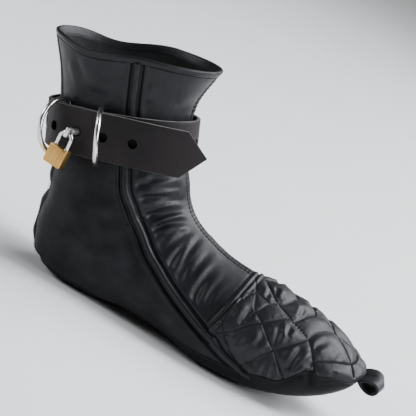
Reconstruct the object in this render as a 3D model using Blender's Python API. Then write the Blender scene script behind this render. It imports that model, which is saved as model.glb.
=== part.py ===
"""Soft black leather ankle boot with a quilted toe, a holed ankle strap, D-rings and a padlock.

Metres, +Z up, +X to the toe, +Y to the wearer's left. The origin is on the floor under the heel.
Sizes below are millimetres and degrees. A mesh turns them into metres when it is made.
"""

import math

import bmesh
import bpy
import numpy as np
from mathutils import Matrix, Vector

MM = 0.001
FULL_TURN = 2 * math.pi

# Leather thicknesses and the clearance that touching pieces keep
WALL = 2.0
SOLE_THICK = 3.0
TIP_THICK = 0.9
INSOLE_THICK = 2.0
INSOLE_START = 2.2
INSOLE_GAP = 0.9
INSOLE_HEEL_CLEAR = 0.55
OVERLAY_THICK = 1.2
GAP = 0.4
SEAM_GAP = 0.6

# Flat treads under heel and ball: the sole's lowest points within TREAD_DEPTH become the floor plane
TREAD_DEPTH = 0.8
TREAD_FADE = 9.0

# Collar: the rim dips at the sides by a part of the last section step, and its hem is a step outward
COLLAR_FRONT_RISE = 0.09
COLLAR_FRONT_FROM = 78.0
COLLAR_FRONT_TO = 108.0
COLLAR_SIDE_DIP = 0.18
COLLAR_SIDE_DIP_AT = 64.0
COLLAR_SIDE_DIP_SPAN = 21.0
HEM_STEP = 0.8
HEM_DEPTH = 0.3
HEM_EDGE = 0.02

# Sections of the last, from the toe tip to the collar. Each spans from a sole or back point to a
# vamp or front point. widest is the height of the broadest place as a share of that span, base_n and
# crown_n are the squareness below and above it. edge_z is the height of the sole seam. strip is the
# place of the side strip as a share of the span.
SECTION_COLUMNS = (
    "back_x", "back_z", "front_x", "front_z", "half_width",
    "widest", "base_n", "crown_n", "edge_z", "strip",
)
SECTIONS = np.array((
    (247.5, 46.0, 247.5, 46.0, 0.0, 0.45, 2.4, 2.3, 46.0, 0.10),
    (243.5, 39.5, 243.5, 51.0, 25.0, 0.45, 2.5, 2.3, 46.0, 0.10),
    (236.5, 31.5, 236.0, 55.5, 37.0, 0.45, 2.6, 2.3, 46.0, 0.10),
    (222.5, 20.5, 222.0, 62.0, 46.5, 0.45, 2.8, 2.2, 42.0, 0.10),
    (202.0, 10.0, 201.5, 69.0, 52.0, 0.42, 3.2, 2.2, 34.0, 0.11),
    (176.0, 2.5, 176.5, 75.0, 55.5, 0.38, 3.5, 2.1, 22.0, 0.16),
    (150.0, 0.0, 152.0, 77.0, 56.5, 0.36, 3.6, 2.1, 16.0, 0.26),
    (120.0, 0.0, 128.0, 77.5, 55.0, 0.36, 3.6, 2.0, 12.5, 0.38),
    (93.0, 4.0, 107.0, 80.0, 51.0, 0.36, 3.4, 1.95, 11.0, 0.45),
    (70.0, 5.8, 90.0, 84.5, 47.0, 0.37, 3.3, 1.95, 10.5, 0.51),
    (48.0, 5.0, 76.0, 90.0, 44.5, 0.38, 3.3, 1.95, 9.5, 0.58),
    (27.0, 1.2, 66.0, 96.0, 43.0, 0.39, 3.3, 2.0, 6.5, 0.635),
    (5.0, 0.0, 59.5, 102.0, 42.5, 0.40, 3.3, 2.0, 6.0, 0.68),
    (-19.0, 1.0, 56.0, 106.0, 42.5, 0.41, 3.0, 2.0, 6.0, 0.71),
    (-38.0, 10.0, 53.5, 109.5, 43.0, 0.43, 2.6, 2.05, 6.0, 0.715),
    (-46.5, 26.0, 51.5, 113.0, 43.5, 0.45, 2.4, 2.1, 6.0, 0.70),
    (-50.0, 42.0, 49.5, 117.0, 43.5, 0.47, 2.3, 2.1, 6.0, 0.67),
    (-52.0, 62.0, 46.5, 121.5, 43.0, 0.48, 2.2, 2.1, 6.0, 0.635),
    (-61.7, 96.5, 41.3, 130.0, 41.5, 0.49, 2.1, 2.1, 6.0, 0.62),
    (-68.6, 114.4, 34.5, 148.0, 41.0, 0.50, 2.1, 2.1, 6.0, 0.625),
    (-75.5, 132.2, 27.7, 166.0, 41.5, 0.50, 2.1, 2.1, 6.0, 0.63),
    (-86.5, 156.0, 26.0, 183.0, 46.0, 0.50, 2.1, 2.1, 6.0, 0.62),
    (-103.5, 181.5, 31.5, 209.0, 54.0, 0.50, 2.1, 2.1, 6.0, 0.59),
))
COLLAR = len(SECTIONS) - 1
HEEL_SECTIONS = (13.0, 14.0)
STRAP_LOW_SECTION = 18
STRAP_SECTION = 19
STRAP_TOP_SECTION = 20

# Toe panel, side strips and back strip
TOE_SEAM_TOP = 6.75
TOE_SEAM_SIDE = 7.05
TOE_PANEL_START = 0.5
TOE_PANEL_CLEAR = 2.0
QUILT_PITCH = 29.0
QUILT_PUFF = 2.2
SIDE_STRIP_HALF = 4.3
SIDE_STRIP_RIB = 0.6
SIDE_STRIP_START = 5.35
BACK_STRIP_HALF = 19.0
STRIP_TO_HEM = 0.12

# Toe loop: a strip folded into a teardrop tunnel across the toe
LOOP_LENGTH = 19.0
LOOP_HEIGHT = 13.6
LOOP_WALL = 2.2
LOOP_ROOT = 2.6
LOOP_TAPER = 0.8
LOOP_SEGMENTS = 14
LOOP_HALF_WIDTH = 20.0

# Strap, holes and their spacing along it, measured from the right D-ring towards the tip
STRAP_WIDTH = 38.0
STRAP_THICK = 3.6
STRAP_GAP = 2.9
LAYER_GAP = 0.6
STRAP_START = 28.0
STRAP_RAMP = (348.0, 380.0)
TAIL_LEAVES = 465.0
TAIL_RADIUS = 150.0
TAIL_LENGTH = 90.0
TAIL_DROOP = 0.085
TAIL_DROOP_EASE = 15.0
TAIL_POINT = 20.0
TAIL_BLUNT = 0.04
STRAP_STATION = 7.0
HOLE_PITCH = 23.5
HOLE_RADIUS = 4.0
HOLE_SEGMENTS = 8
HOLE_FIRST = 29.5
HOLE_LAST_ANGLE = 118.0

# D-rings, placed by the angle round the strap from the back seam over the right side. The strap lifts
# over each bar for about RING_BUMP to both sides, and a degree round the ankle is DEGREE_LENGTH long.
WIRE = 4.0
RING_INNER_WIDTH = 41.0
RING_DEPTH = 30.0
RING_ARM = 9.0
RING_CORNER = 3.5
RING_BUMP = 9.0
DEGREE_LENGTH = 0.83
RING_GAP = 0.7
RING_ANGLES = {"d_ring_right": 80.0, "d_ring_back": 46.0, "d_ring_left": 287.0}
RING_SWING = {"d_ring_right": 16.0, "d_ring_back": 6.0, "d_ring_left": 0.0}

# Lock post and padlock
POST_FROM_RING = 17.5
POST_RADIUS = (2.9, 2.3)
EYE_REACH = 11.0
EYE_RADIUS = 2.2
HEAD_SIZE = (8.0, 8.0, 3.2)
SHACKLE_WIRE = 3.0
SHACKLE_RADIUS = 5.5
SHACKLE_LEG = 7.0
LOCK_WIDTH = 17.0
LOCK_HEIGHT = 16.0
LOCK_DEPTH = 9.0
LOCK_BEVEL = 1.2

# Mesh fineness: sections of the upper at the toe, along the foot, before the closed heel and up the shaft
TOE_ROWS = (0.0, 0.3, 0.6, 1.0, 1.5, 2.0, 2.5)
FOOT_ROWS = (3.0, 12.8, 0.75)
HEEL_ROWS_BEFORE = (0.62, 0.36, 0.18, 0.06, 0.0)
ANKLE_ROWS = (14.2, 18.0, 0.65)
SHAFT_ROWS = (18.0, 19.0, 20.0, 20.5, 21.0, 21.4)
QUILT_ROWS = 16
QUILT_COLUMNS = 20
UPPER_COLUMNS = 28
SOLE_COLUMNS = 12
STEP = 1e-3

# Colour, roughness and metallic value of each material
FINISHES = {
    "nappa": ((0.018, 0.019, 0.022), 0.45, 0.0),
    "sole_leather": ((0.014, 0.014, 0.016), 0.6, 0.0),
    "lining": ((0.03, 0.03, 0.032), 0.8, 0.0),
    "strap_leather": ((0.028, 0.023, 0.023), 0.55, 0.0),
    "steel": ((0.72, 0.71, 0.69), 0.22, 1.0),
    "brass": ((0.62, 0.38, 0.13), 0.35, 1.0),
}


def clear_scene():
    for thing in list(bpy.data.objects):
        bpy.data.objects.remove(thing, do_unlink=True)


def finish(name):
    """The material of this name, made once."""
    found = bpy.data.materials.get(name)
    if found:
        return found
    colour, roughness, metallic = FINISHES[name]
    made = bpy.data.materials.new(name)
    made.use_nodes = True
    shader = made.node_tree.nodes["Principled BSDF"]
    shader.inputs["Base Color"].default_value = (*colour, 1.0)
    shader.inputs["Roughness"].default_value = roughness
    shader.inputs["Metallic"].default_value = metallic
    return made


def add_object(name, data, material, origin=(0.0, 0.0, 0.0)):
    """An object whose data is in millimetres about its origin, turned into metres."""
    data.transform(Matrix.Scale(MM, 4))
    data.materials.append(finish(material))
    made = bpy.data.objects.new(name, data)
    made.location = Vector(origin) * MM
    bpy.context.scene.collection.objects.link(made)
    return made


def mesh_object(name, points, faces, material, origin=(0.0, 0.0, 0.0)):
    """A closed mesh with its faces turned outward and its round faces shaded smooth."""
    data = bpy.data.meshes.new(name)
    data.from_pydata([tuple(point) for point in points], [], faces)
    work = bmesh.new()
    work.from_mesh(data)
    bmesh.ops.recalc_face_normals(work, faces=work.faces)
    work.to_mesh(data)
    work.free()
    data.shade_smooth()
    data.set_sharp_from_angle(angle=math.radians(40))
    return add_object(name, data, material, origin)


# The last: one smooth skin from the section table


def along(column, s):
    """Smooth value of a table column at section number s, which may lie between two rows."""
    rows = SECTIONS[:, SECTION_COLUMNS.index(column)]
    slopes = np.gradient(rows)
    first = np.clip(np.floor(s).astype(int), 0, COLLAR - 1)
    f = s - first
    rise = rows[first + 1] - rows[first]
    bend_in = slopes[first] - rise
    bend_out = rise - slopes[first + 1]
    return rows[first] + f * rise + f * (1 - f) * ((1 - f) * bend_in + f * bend_out)


def skin(s, a):
    """Points of the outer skin at section s and angle a round it.

    a is 0 at the sole or back seam, then runs over the wearer's right side, reaches pi at the vamp
    or front seam, and returns over the left side.
    """
    s, a = np.broadcast_arrays(np.asarray(s, float), np.asarray(a, float))
    below = np.cos(a) > 0
    power = np.where(below, along("base_n", s), along("crown_n", s))
    rise = np.abs(np.cos(a))
    spread = np.abs(np.sin(a))
    reach = (rise**power + spread**power) ** (-1 / power)
    widest = along("widest", s)
    share = np.where(below, widest * (1 - reach * rise), widest + (1 - widest) * reach * rise)
    x = along("back_x", s) * (1 - share) + along("front_x", s) * share
    y = -np.sign(np.sin(a)) * along("half_width", s) * reach * spread
    z = along("back_z", s) * (1 - share) + along("front_z", s) * share
    return np.stack((x, y, z), axis=-1)


def unit(vectors):
    return vectors / np.linalg.norm(vectors, axis=-1, keepdims=True)


def outward(s, a):
    """Outward unit normals of the skin. The toe tip faces forward."""
    s, a = np.broadcast_arrays(np.asarray(s, float), np.asarray(a, float))
    safe = np.maximum(s, 2 * STEP)
    to_collar = skin(safe + STEP, a) - skin(safe - STEP, a)
    round_it = skin(safe, a + STEP) - skin(safe, a - STEP)
    found = np.cross(round_it, to_collar)
    found[s < STEP] = (1.0, 0.0, 0.0)
    return unit(found)


def offset_skin(s, a, offset):
    return skin(s, a) + outward(s, a) * np.asarray(offset)[..., None]


def angle_at(s, share):
    """Angle on the right side where the skin has this share of the section's span."""
    widest = along("widest", s)
    below = share < widest
    power = np.where(below, along("base_n", s), along("crown_n", s))
    depth = np.where(below, 1 - share / widest, (share - widest) / (1 - widest))
    depth = np.clip(depth, 0.0, 1.0)
    side = (1 - depth**power) ** (1 / power)
    return np.where(below, np.arctan2(side, depth), math.pi - np.arctan2(side, depth))


def seam_angle(s):
    """Angle of the sole seam on the right side, 0 where the heel is closed at the back."""
    height = along("front_z", s) - along("back_z", s)
    share = (along("edge_z", s) - along("back_z", s)) / np.maximum(height, STEP)
    return angle_at(s, np.clip(share, 0.0, 1.0))


def heel_section():
    """Section number where the sole seam meets itself at the back of the heel."""
    s = np.linspace(*HEEL_SECTIONS, 2001)
    return s[np.argmin(np.abs(along("back_z", s) - along("edge_z", s)))]


def angle_step(s, a, distance):
    """Change of angle that moves a point of the skin round its section by this distance."""
    speed = np.linalg.norm(skin(s, a + STEP) - skin(s, a - STEP), axis=-1) / (2 * STEP)
    return distance / np.maximum(speed, 1.0)


def collar_row(s, a):
    """Section numbers above the strap, where the rim dips beside the back and rises to the front."""
    degrees = np.degrees(np.arccos(np.cos(a)))
    rise = np.clip((degrees - COLLAR_FRONT_FROM) / (COLLAR_FRONT_TO - COLLAR_FRONT_FROM), 0.0, 1.0)
    rise = COLLAR_FRONT_RISE * rise**2 * (3 - 2 * rise)
    dip = COLLAR_SIDE_DIP * np.exp(-(((degrees - COLLAR_SIDE_DIP_AT) / COLLAR_SIDE_DIP_SPAN) ** 2))
    share = (s - STRAP_TOP_SECTION) / (COLLAR - STRAP_TOP_SECTION)
    return np.where(s > STRAP_TOP_SECTION, s + (rise - dip) * share, s)


def foot_rows():
    """Sections of the open foot, from the toe tip to the closed heel."""
    heel = heel_section() - np.array(HEEL_ROWS_BEFORE)
    return np.concatenate((TOE_ROWS, np.arange(*FOOT_ROWS), heel))


def shell_solid(name, outer, inner, material):
    """A solid between two grids of points. Points that coincide are joined, free edges are walled."""
    flat = outer.reshape(-1, 3)
    _, first, ids = np.unique(np.round(flat, 4), axis=0, return_index=True, return_inverse=True)
    ids = ids.reshape(outer.shape[:2])
    count = len(first)
    faces = []
    used = {}
    for i in range(ids.shape[0] - 1):
        for j in range(ids.shape[1] - 1):
            loop = (ids[i, j], ids[i, j + 1], ids[i + 1, j + 1], ids[i + 1, j])
            face = [int(loop[k]) for k in range(4) if loop[k] != loop[k - 1]]
            if len(face) < 3:
                continue
            faces.append(face)
            for k in range(len(face)):
                used[(face[k - 1], face[k])] = used.get((face[k - 1], face[k]), 0) + 1
    rim = [(u, v) for u, v in used if (v, u) not in used]
    inside = [[count + v for v in reversed(face)] for face in faces]
    walls = [[v, u, count + u, count + v] for u, v in rim]
    points = np.concatenate((flat[first], inner.reshape(-1, 3)[first]))
    return mesh_object(name, points, faces + inside + walls, material)


# Sole, insole and upper


def upper_rows():
    """Sections of the upper below its hem. Overlays share them, so that their facets stay parallel."""
    return np.concatenate((foot_rows(), np.arange(*ANKLE_ROWS), SHAFT_ROWS))


def rows_between(first, last):
    """The upper's sections between these two, with both ends."""
    rows = upper_rows()
    inside = rows[(rows > first + 0.1) & (rows < last - 0.1)]
    return np.concatenate(([first], inside, [last]))[:, None]


def upper():
    """Vamp, quarters and flared collar in one wall, open at the collar and at the sole seam."""
    hem = COLLAR - HEM_DEPTH
    rows = np.concatenate((upper_rows(), [hem - HEM_EDGE, hem, COLLAR]))[:, None]
    across = np.linspace(0.0, 1.0, UPPER_COLUMNS + 1)[None, :]
    start = seam_angle(rows)
    a = start + across * (FULL_TURN - 2 * start)
    s = collar_row(rows, a)
    step = np.where(rows >= hem, HEM_STEP, 0.0) + 0 * a
    inner = offset_skin(s, a, -thickness(WALL, s))
    return shell_solid("upper", offset_skin(s, a, step), inner, "nappa")


def sole_rows():
    """Sections of the sole pan, from just behind the toe tip to just before the closed heel."""
    return foot_rows()[1:-1, None]


def thickness(full, s):
    """Leather thickness, skived thin towards the toe tip."""
    return np.minimum(full, TIP_THICK * (1 + s))


def tread(points):
    """The sole's underside with its lowest places flattened onto the floor."""
    z = points[..., 2]
    sink = TREAD_DEPTH * np.clip((TREAD_FADE - z) / (TREAD_FADE - 1), 0.0, 1.0)
    points[..., 2] = np.maximum(0.0, z - sink)
    return points


def sole_grid():
    """Sections and angles of the sole pan's grid, a little short of the sole seam."""
    rows = sole_rows()
    across = np.linspace(-1.0, 1.0, SOLE_COLUMNS + 1)[None, :]
    edge = seam_angle(rows)
    a = across * (edge - angle_step(rows, edge, SEAM_GAP))
    return rows + 0 * a, a


def sole():
    """Soft leather pan that wraps up to the sole seam."""
    s, a = sole_grid()
    inner = offset_skin(s, a, -thickness(SOLE_THICK, s))
    return shell_solid("sole", tread(skin(s, a)), inner, "sole_leather")


def insole():
    """Leather insole lying in the sole pan, on the inner part of the pan's own grid."""
    s, a = sole_grid()
    inside = (s[:, 0] > INSOLE_START) & (s[:, 0] < heel_section() - INSOLE_HEEL_CLEAR)
    s = s[inside, 2:-2]
    a = a[inside, 2:-2]
    under = -thickness(SOLE_THICK, s) - INSOLE_GAP
    top = offset_skin(s, a, under - INSOLE_THICK)
    return shell_solid("insole", offset_skin(s, a, under), top, "lining")


# Overlays, each cut from the upper's own skin


def overlay(name, s, a, relief=0.0, gap=GAP):
    """A leather piece lying on the skin, with its outer face raised by relief."""
    seat = 0 * a + gap
    face = offset_skin(s, a, seat + OVERLAY_THICK + relief)
    return shell_solid(name, face, offset_skin(s, a, seat), "nappa")


def strip_angle(s):
    return angle_at(s, along("strip", s))


def toe_panel_edge(s):
    """Lowest angle of the toe panel: above the side strip, then above the sole seam."""
    strip = strip_angle(s)
    strip = strip + angle_step(s, strip, SIDE_STRIP_HALF + TOE_PANEL_CLEAR)
    seam = seam_angle(s)
    seam = seam + angle_step(s, seam, TOE_PANEL_CLEAR)
    return np.maximum(np.where(s > SIDE_STRIP_START - 1.0, strip, 0.0), seam)


def toe_panel():
    """Quilted toe panel, puffed between its diagonal stitch lines."""
    share = np.linspace(0.0, 1.0, QUILT_ROWS + 1)[:, None]
    across = np.linspace(-1.0, 1.0, QUILT_COLUMNS + 1)[None, :]
    back = TOE_SEAM_TOP + (TOE_SEAM_SIDE - TOE_SEAM_TOP) * across**2
    s = TOE_PANEL_START + share * (back - TOE_PANEL_START)
    a = math.pi + across * (math.pi - toe_panel_edge(s))
    place = skin(s, a)
    girth = (a - math.pi) * along("half_width", s)
    diagonal = QUILT_PITCH * math.sqrt(2)
    first = np.sin(math.pi * (place[..., 0] + girth) / diagonal)
    second = np.sin(math.pi * (place[..., 0] - girth) / diagonal)
    inside = np.sqrt(np.sin(math.pi * share) * np.cos(across * math.pi / 2))
    puff = QUILT_PUFF * np.sqrt(np.abs(first * second)) * inside
    return overlay("toe_panel", s, a, puff, SEAM_GAP)


def side_strip(name, side):
    """Narrow strip with a raised middle, from under the collar hem to the sole seam."""
    rows = rows_between(SIDE_STRIP_START, COLLAR - HEM_DEPTH - STRIP_TO_HEM)
    across = np.array((-1.0, 0.0, 1.0))[None, :]
    middle = strip_angle(rows)
    a = middle + across * angle_step(rows, middle, SIDE_STRIP_HALF)
    a = a if side < 0 else FULL_TURN - a
    s = collar_row(rows, a)
    return overlay(name, s, a, SIDE_STRIP_RIB * (1 - np.abs(across)) + 0 * a)


def back_strip():
    """Strip over the back seam, from the sole seam at the heel to the collar hem."""
    rows = rows_between(heel_section() + STRIP_TO_HEM, COLLAR - HEM_DEPTH - STRIP_TO_HEM)
    across = np.linspace(-1.0, 1.0, 7)[None, :]
    a = across * angle_step(rows, 0 * rows, BACK_STRIP_HALF)
    return overlay("back_strip", collar_row(rows, a), a)


def toe_loop():
    """Folded strip across the toe: a teardrop tunnel that follows the toe's curve."""
    turn = np.linspace(0.0, FULL_TURN, LOOP_SEGMENTS + 1) % FULL_TURN
    y = np.linspace(-LOOP_HALF_WIDTH, LOOP_HALF_WIDTH, 7)
    s = np.linspace(0.0, 1.5, 60)
    nose = skin(s, seam_angle(s))
    x_at = np.interp(np.abs(y), -nose[:, 1], nose[:, 0])
    z_at = np.interp(np.abs(y), -nose[:, 1], nose[:, 2])

    def ring(length, height, start):
        depth = start + length * (1 - np.cos(turn)) / 2
        lift = height / 2 * np.sin(turn) * np.sin(turn / 2) ** LOOP_TAPER
        return np.stack([np.stack((x + depth, 0 * depth + w, z + lift), -1)
                         for x, w, z in zip(x_at, y, z_at)])

    outer = ring(LOOP_LENGTH, LOOP_HEIGHT, GAP)
    hole_length = LOOP_LENGTH - LOOP_WALL - LOOP_ROOT
    hole = ring(hole_length, LOOP_HEIGHT - 2 * LOOP_WALL, GAP + LOOP_ROOT)
    return shell_solid("toe_loop", outer, hole, "nappa")


# Strap


class StrapPath:
    """The strap's middle line: round the ankle once, then over its own start to the hanging tail."""

    def __init__(self):
        seams = np.array((0.0, math.pi))
        low = skin(STRAP_LOW_SECTION, seams).mean(axis=0)
        high = skin(STRAP_TOP_SECTION, seams).mean(axis=0)
        self.up = unit(high - low)
        degrees = np.arange(STRAP_START, TAIL_LEAVES, 0.5)
        centre = self.on_skin(degrees) + self.out(degrees) * self.stand_off(degrees)[:, None]
        self.degrees = degrees
        steps = np.linalg.norm(np.diff(centre, axis=0), axis=1)
        self.length = np.concatenate(([0.0], np.cumsum(steps)))
        self.ring_length = float(np.interp(360.0 + RING_ANGLES["d_ring_right"], degrees, self.length))
        self.end = self.ring_length + TAIL_LENGTH
        self.centre = centre

    def on_skin(self, degrees):
        return skin(STRAP_SECTION, np.radians(np.asarray(degrees) % 360.0))

    def out(self, degrees):
        """Outward direction of the strap's face."""
        return unit(np.cross(self.forward(degrees), self.up))

    def forward(self, degrees):
        return unit(self.on_skin(np.asarray(degrees) + 0.1) - self.on_skin(np.asarray(degrees) - 0.1))

    def stand_off(self, degrees):
        """Distance from the skin to the strap's middle: more over ring bars and over its own start."""
        degrees = np.asarray(degrees, float)
        lift = 0 * degrees
        for angle in RING_ANGLES.values():
            away = (degrees - angle + 180.0) % 360.0 - 180.0
            lift = lift + np.exp(-((away * DEGREE_LENGTH / RING_BUMP) ** 2))
        bump = (RING_GAP + WIRE + GAP - STRAP_GAP) * lift
        ramp = np.clip((degrees - STRAP_RAMP[0]) / (STRAP_RAMP[1] - STRAP_RAMP[0]), 0.0, 1.0)
        over = (STRAP_THICK + LAYER_GAP) * ramp**2 * (3 - 2 * ramp)
        return STRAP_GAP + STRAP_THICK / 2 + bump + over

    def frame(self, length):
        """Place, forward, width and outward directions at this length from the strap's start."""
        wound = min(length, self.length[-1])
        degree = float(np.interp(wound, self.length, self.degrees))
        place = np.array([np.interp(wound, self.length, self.centre[:, k]) for k in range(3)])
        ahead = self.forward(degree)
        out = self.out(degree)
        free = length - wound
        if free > 0:
            turn = free / TAIL_RADIUS
            place = place + TAIL_RADIUS * (math.sin(turn) * ahead - (1 - math.cos(turn)) * out)
            leaving = ahead
            ahead = math.cos(turn) * leaving - math.sin(turn) * out
            out = math.cos(turn) * out + math.sin(turn) * leaving
        hang = max(0.0, length - self.ring_length)
        place = place - self.up * TAIL_DROOP * hang**2 / (hang + TAIL_DROOP_EASE)
        slope = TAIL_DROOP * hang * (hang + 2 * TAIL_DROOP_EASE) / (hang + TAIL_DROOP_EASE) ** 2
        ahead = unit(ahead - slope * self.up)
        width = unit(np.cross(out, ahead))
        return place, ahead, width, out


def strap(path):
    """Thick strap with an arrow tip and a row of holes."""
    stations = np.linspace(0.0, path.end, int(path.end / STRAP_STATION))
    rings = []
    for length in stations:
        place, _, width, out = path.frame(length)
        half = STRAP_WIDTH / 2 * min(1.0, TAIL_BLUNT + (path.end - length) / TAIL_POINT)
        for u, v in ((-1, -1), (1, -1), (1, 1), (-1, 1)):
            rings.append(place + u * half * width + v * STRAP_THICK / 2 * out)
    count = len(stations)
    faces = [[3, 2, 1, 0], [4 * count - 4 + k for k in range(4)]]
    for i in range(count - 1):
        faces += [[4 * i + k, 4 * i + (k + 1) % 4, 4 * i + 4 + (k + 1) % 4, 4 * i + 4 + k] for k in range(4)]
    made = mesh_object("strap", rings, faces, "strap_leather")
    combine(made, hole_cutters(path), "DIFFERENCE")


def hole_lengths(path):
    """Places of the holes along the strap. The covered start has none."""
    first = float(np.interp(HOLE_LAST_ANGLE, path.degrees, path.length))
    return np.arange(path.ring_length + HOLE_FIRST, first, -HOLE_PITCH)


def hole_cutters(path):
    data = bpy.data.meshes.new("hole_cutters")
    work = bmesh.new()
    for length in hole_lengths(path):
        place, ahead, width, out = path.frame(length)
        turned = Matrix((ahead, width, out)).transposed().to_4x4()
        bmesh.ops.create_cone(
            work, cap_ends=True, segments=HOLE_SEGMENTS, radius1=HOLE_RADIUS, radius2=HOLE_RADIUS,
            depth=STRAP_THICK + LAYER_GAP, matrix=Matrix.Translation(place) @ turned,
        )
    bmesh.ops.recalc_face_normals(work, faces=work.faces)
    work.to_mesh(data)
    work.free()
    return add_object("hole_cutters", data, "strap_leather")


def combine(target, other, operation):
    """Joins the other shape to the target or cuts it away, and hides the other."""
    other.hide_render = True
    other.display_type = "WIRE"
    change = target.modifiers.new(other.name, "BOOLEAN")
    change.operation = operation
    change.solver = "EXACT"
    change.object = other


# Steel and brass


def wire(name, points, thickness, closed, origin):
    """Round wire along points given about its origin."""
    data = bpy.data.curves.new(name, "CURVE")
    data.dimensions = "3D"
    data.bevel_depth = thickness / 2
    data.bevel_resolution = 2
    data.use_fill_caps = True
    spline = data.splines.new("POLY")
    spline.points.add(len(points) - 1)
    for point, place in zip(spline.points, points):
        point.co = (*place, 1.0)
    spline.use_cyclic_u = closed
    return add_object(name, data, "steel", origin)


def ring_frame(path, name):
    """Middle of a D-ring's straight bar, with the bar's direction and the way the ring stands out."""
    angle = RING_ANGLES[name]
    swing = math.radians(RING_SWING[name])
    out = path.out(angle)
    stands = math.cos(swing) * out + math.sin(swing) * np.cross(path.up, out)
    return path.on_skin(angle) + out * (RING_GAP + WIRE / 2), path.up, stands


def d_ring(path, name):
    """D-ring whose straight bar lies between strap and upper."""
    middle, bar, out = ring_frame(path, name)
    half = (RING_INNER_WIDTH + WIRE) / 2
    bend = np.radians(np.linspace(0.0, 90.0, 4))
    corner_u = half - RING_CORNER * (1 - np.sin(bend))
    corner_r = RING_CORNER * (1 - np.cos(bend))
    bow = np.radians(np.linspace(0.0, 180.0, 13))
    bow_u = half * np.cos(bow)
    bow_r = RING_ARM + (RING_DEPTH - RING_ARM) * np.sin(bow)
    u = np.concatenate((corner_u, bow_u, -corner_u[::-1]))
    r = np.concatenate((corner_r, bow_r, corner_r[::-1]))
    points = u[:, None] * bar + r[:, None] * out
    return wire(name, points, WIRE, True, middle)


def eye_frame(path):
    """Middle of the post's eye, with its axis, the padlock's hanging direction and the way out."""
    place, _, _, out = path.frame(path.ring_length - POST_FROM_RING)
    eye = place + out * (STRAP_THICK / 2 + EYE_REACH)
    down = np.array((0.0, 0.0, -1.0))
    axis = unit(np.cross(down, out))
    return eye, axis, down, np.cross(axis, down)


def axes_matrix(x_axis, y_axis, z_axis):
    """Rotation that takes the local axes to these directions."""
    return Matrix((x_axis, y_axis, z_axis)).transposed().to_4x4()


def block(name, size, turned, material, origin, bevel=0.0):
    """Box of this size about its origin, turned, with its edges bevelled."""
    work = bmesh.new()
    bmesh.ops.create_cube(work, size=1.0, matrix=turned @ Matrix.Diagonal((*size, 1.0)))
    if bevel:
        bmesh.ops.bevel(work, geom=work.edges, offset=bevel, segments=2, profile=0.5, affect="EDGES")
    data = bpy.data.meshes.new(name)
    work.to_mesh(data)
    work.free()
    return add_object(name, data, material, origin)


def rod(name, radii, length, turned, material, origin):
    """Round rod about its origin, along the turned Z axis, from the first radius to the second."""
    work = bmesh.new()
    bmesh.ops.create_cone(work, cap_ends=True, segments=16, radius1=radii[0], radius2=radii[1],
                          depth=length, matrix=turned)
    data = bpy.data.meshes.new(name)
    work.to_mesh(data)
    work.free()
    return add_object(name, data, material, origin)


def lock_post(path):
    """Tapered post from the strap's covered layer through its hole, with a flat head and an eye."""
    place, ahead, width, out = path.frame(path.ring_length - POST_FROM_RING)
    eye, axis, down, away = eye_frame(path)
    foot = place - out * (STRAP_THICK / 2 + LAYER_GAP - GAP)
    length = float(np.linalg.norm(eye - foot)) - HEAD_SIZE[0] / 4
    upright = axes_matrix(ahead, width, out)
    made = rod("lock_post", POST_RADIUS, length, upright, "steel", foot + out * length / 2)
    turned = axes_matrix(down, away, axis)
    head = block("lock_post_head", HEAD_SIZE, turned, "steel", eye, LOCK_BEVEL / 2)
    combine(made, head, "UNION")
    radii = (EYE_RADIUS, EYE_RADIUS)
    bore = rod("lock_post_eye", radii, 2 * HEAD_SIZE[2], turned, "steel", eye)
    combine(made, bore, "DIFFERENCE")


def padlock(path):
    """Brass padlock that hangs by its shackle in the post's eye, turning about the eye's axis."""
    eye, axis, down, away = eye_frame(path)
    pivot = bpy.data.objects.new("padlock_pivot", None)
    pivot.location = Vector(eye) * MM
    bpy.context.scene.collection.objects.link(pivot)
    bow = np.radians(np.linspace(0.0, 180.0, 13))
    across = SHACKLE_RADIUS * np.cos(bow)
    drop = SHACKLE_RADIUS * (1 - np.sin(bow))
    foot = SHACKLE_RADIUS + SHACKLE_LEG
    across = np.concatenate(((SHACKLE_RADIUS,), across, (-SHACKLE_RADIUS,)))
    drop = np.concatenate(((foot,), drop, (foot,)))
    bends = across[:, None] * axis + drop[:, None] * down
    shackle = wire("padlock_shackle", bends, SHACKLE_WIRE, False, (0, 0, 0))
    size = (LOCK_WIDTH, LOCK_HEIGHT, LOCK_DEPTH)
    middle = down * (foot + GAP + LOCK_HEIGHT / 2)
    body = block("padlock_body", size, axes_matrix(axis, down, away), "brass", middle, LOCK_BEVEL)
    shackle.parent = pivot
    body.parent = pivot


def main():
    clear_scene()
    path = StrapPath()
    sole()
    insole()
    upper()
    toe_panel()
    side_strip("side_strip_right", -1)
    side_strip("side_strip_left", 1)
    back_strip()
    toe_loop()
    strap(path)
    for name in RING_ANGLES:
        d_ring(path, name)
    lock_post(path)
    padlock(path)


main()
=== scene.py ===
"""Dressed black leather ankle boot: creased vamp, quilted toe, holed strap, D-rings and padlock.

Lengths are millimetres and become metres when a mesh is made. +X is the toe, +Y the wearer's left,
+Z up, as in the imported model.
"""

import math

import bmesh
import bpy
import numpy as np
from mathutils import Matrix, Vector


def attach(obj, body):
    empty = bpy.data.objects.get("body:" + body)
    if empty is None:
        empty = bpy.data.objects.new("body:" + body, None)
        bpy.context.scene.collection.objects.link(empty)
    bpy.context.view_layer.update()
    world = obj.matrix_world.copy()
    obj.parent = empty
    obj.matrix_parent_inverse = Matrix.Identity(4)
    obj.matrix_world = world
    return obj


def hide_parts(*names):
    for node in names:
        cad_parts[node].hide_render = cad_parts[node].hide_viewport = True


MM = 0.001
FULL_TURN = 2 * math.pi

# Step of section or angle for slopes on the skin
STEP = 1e-3

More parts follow.
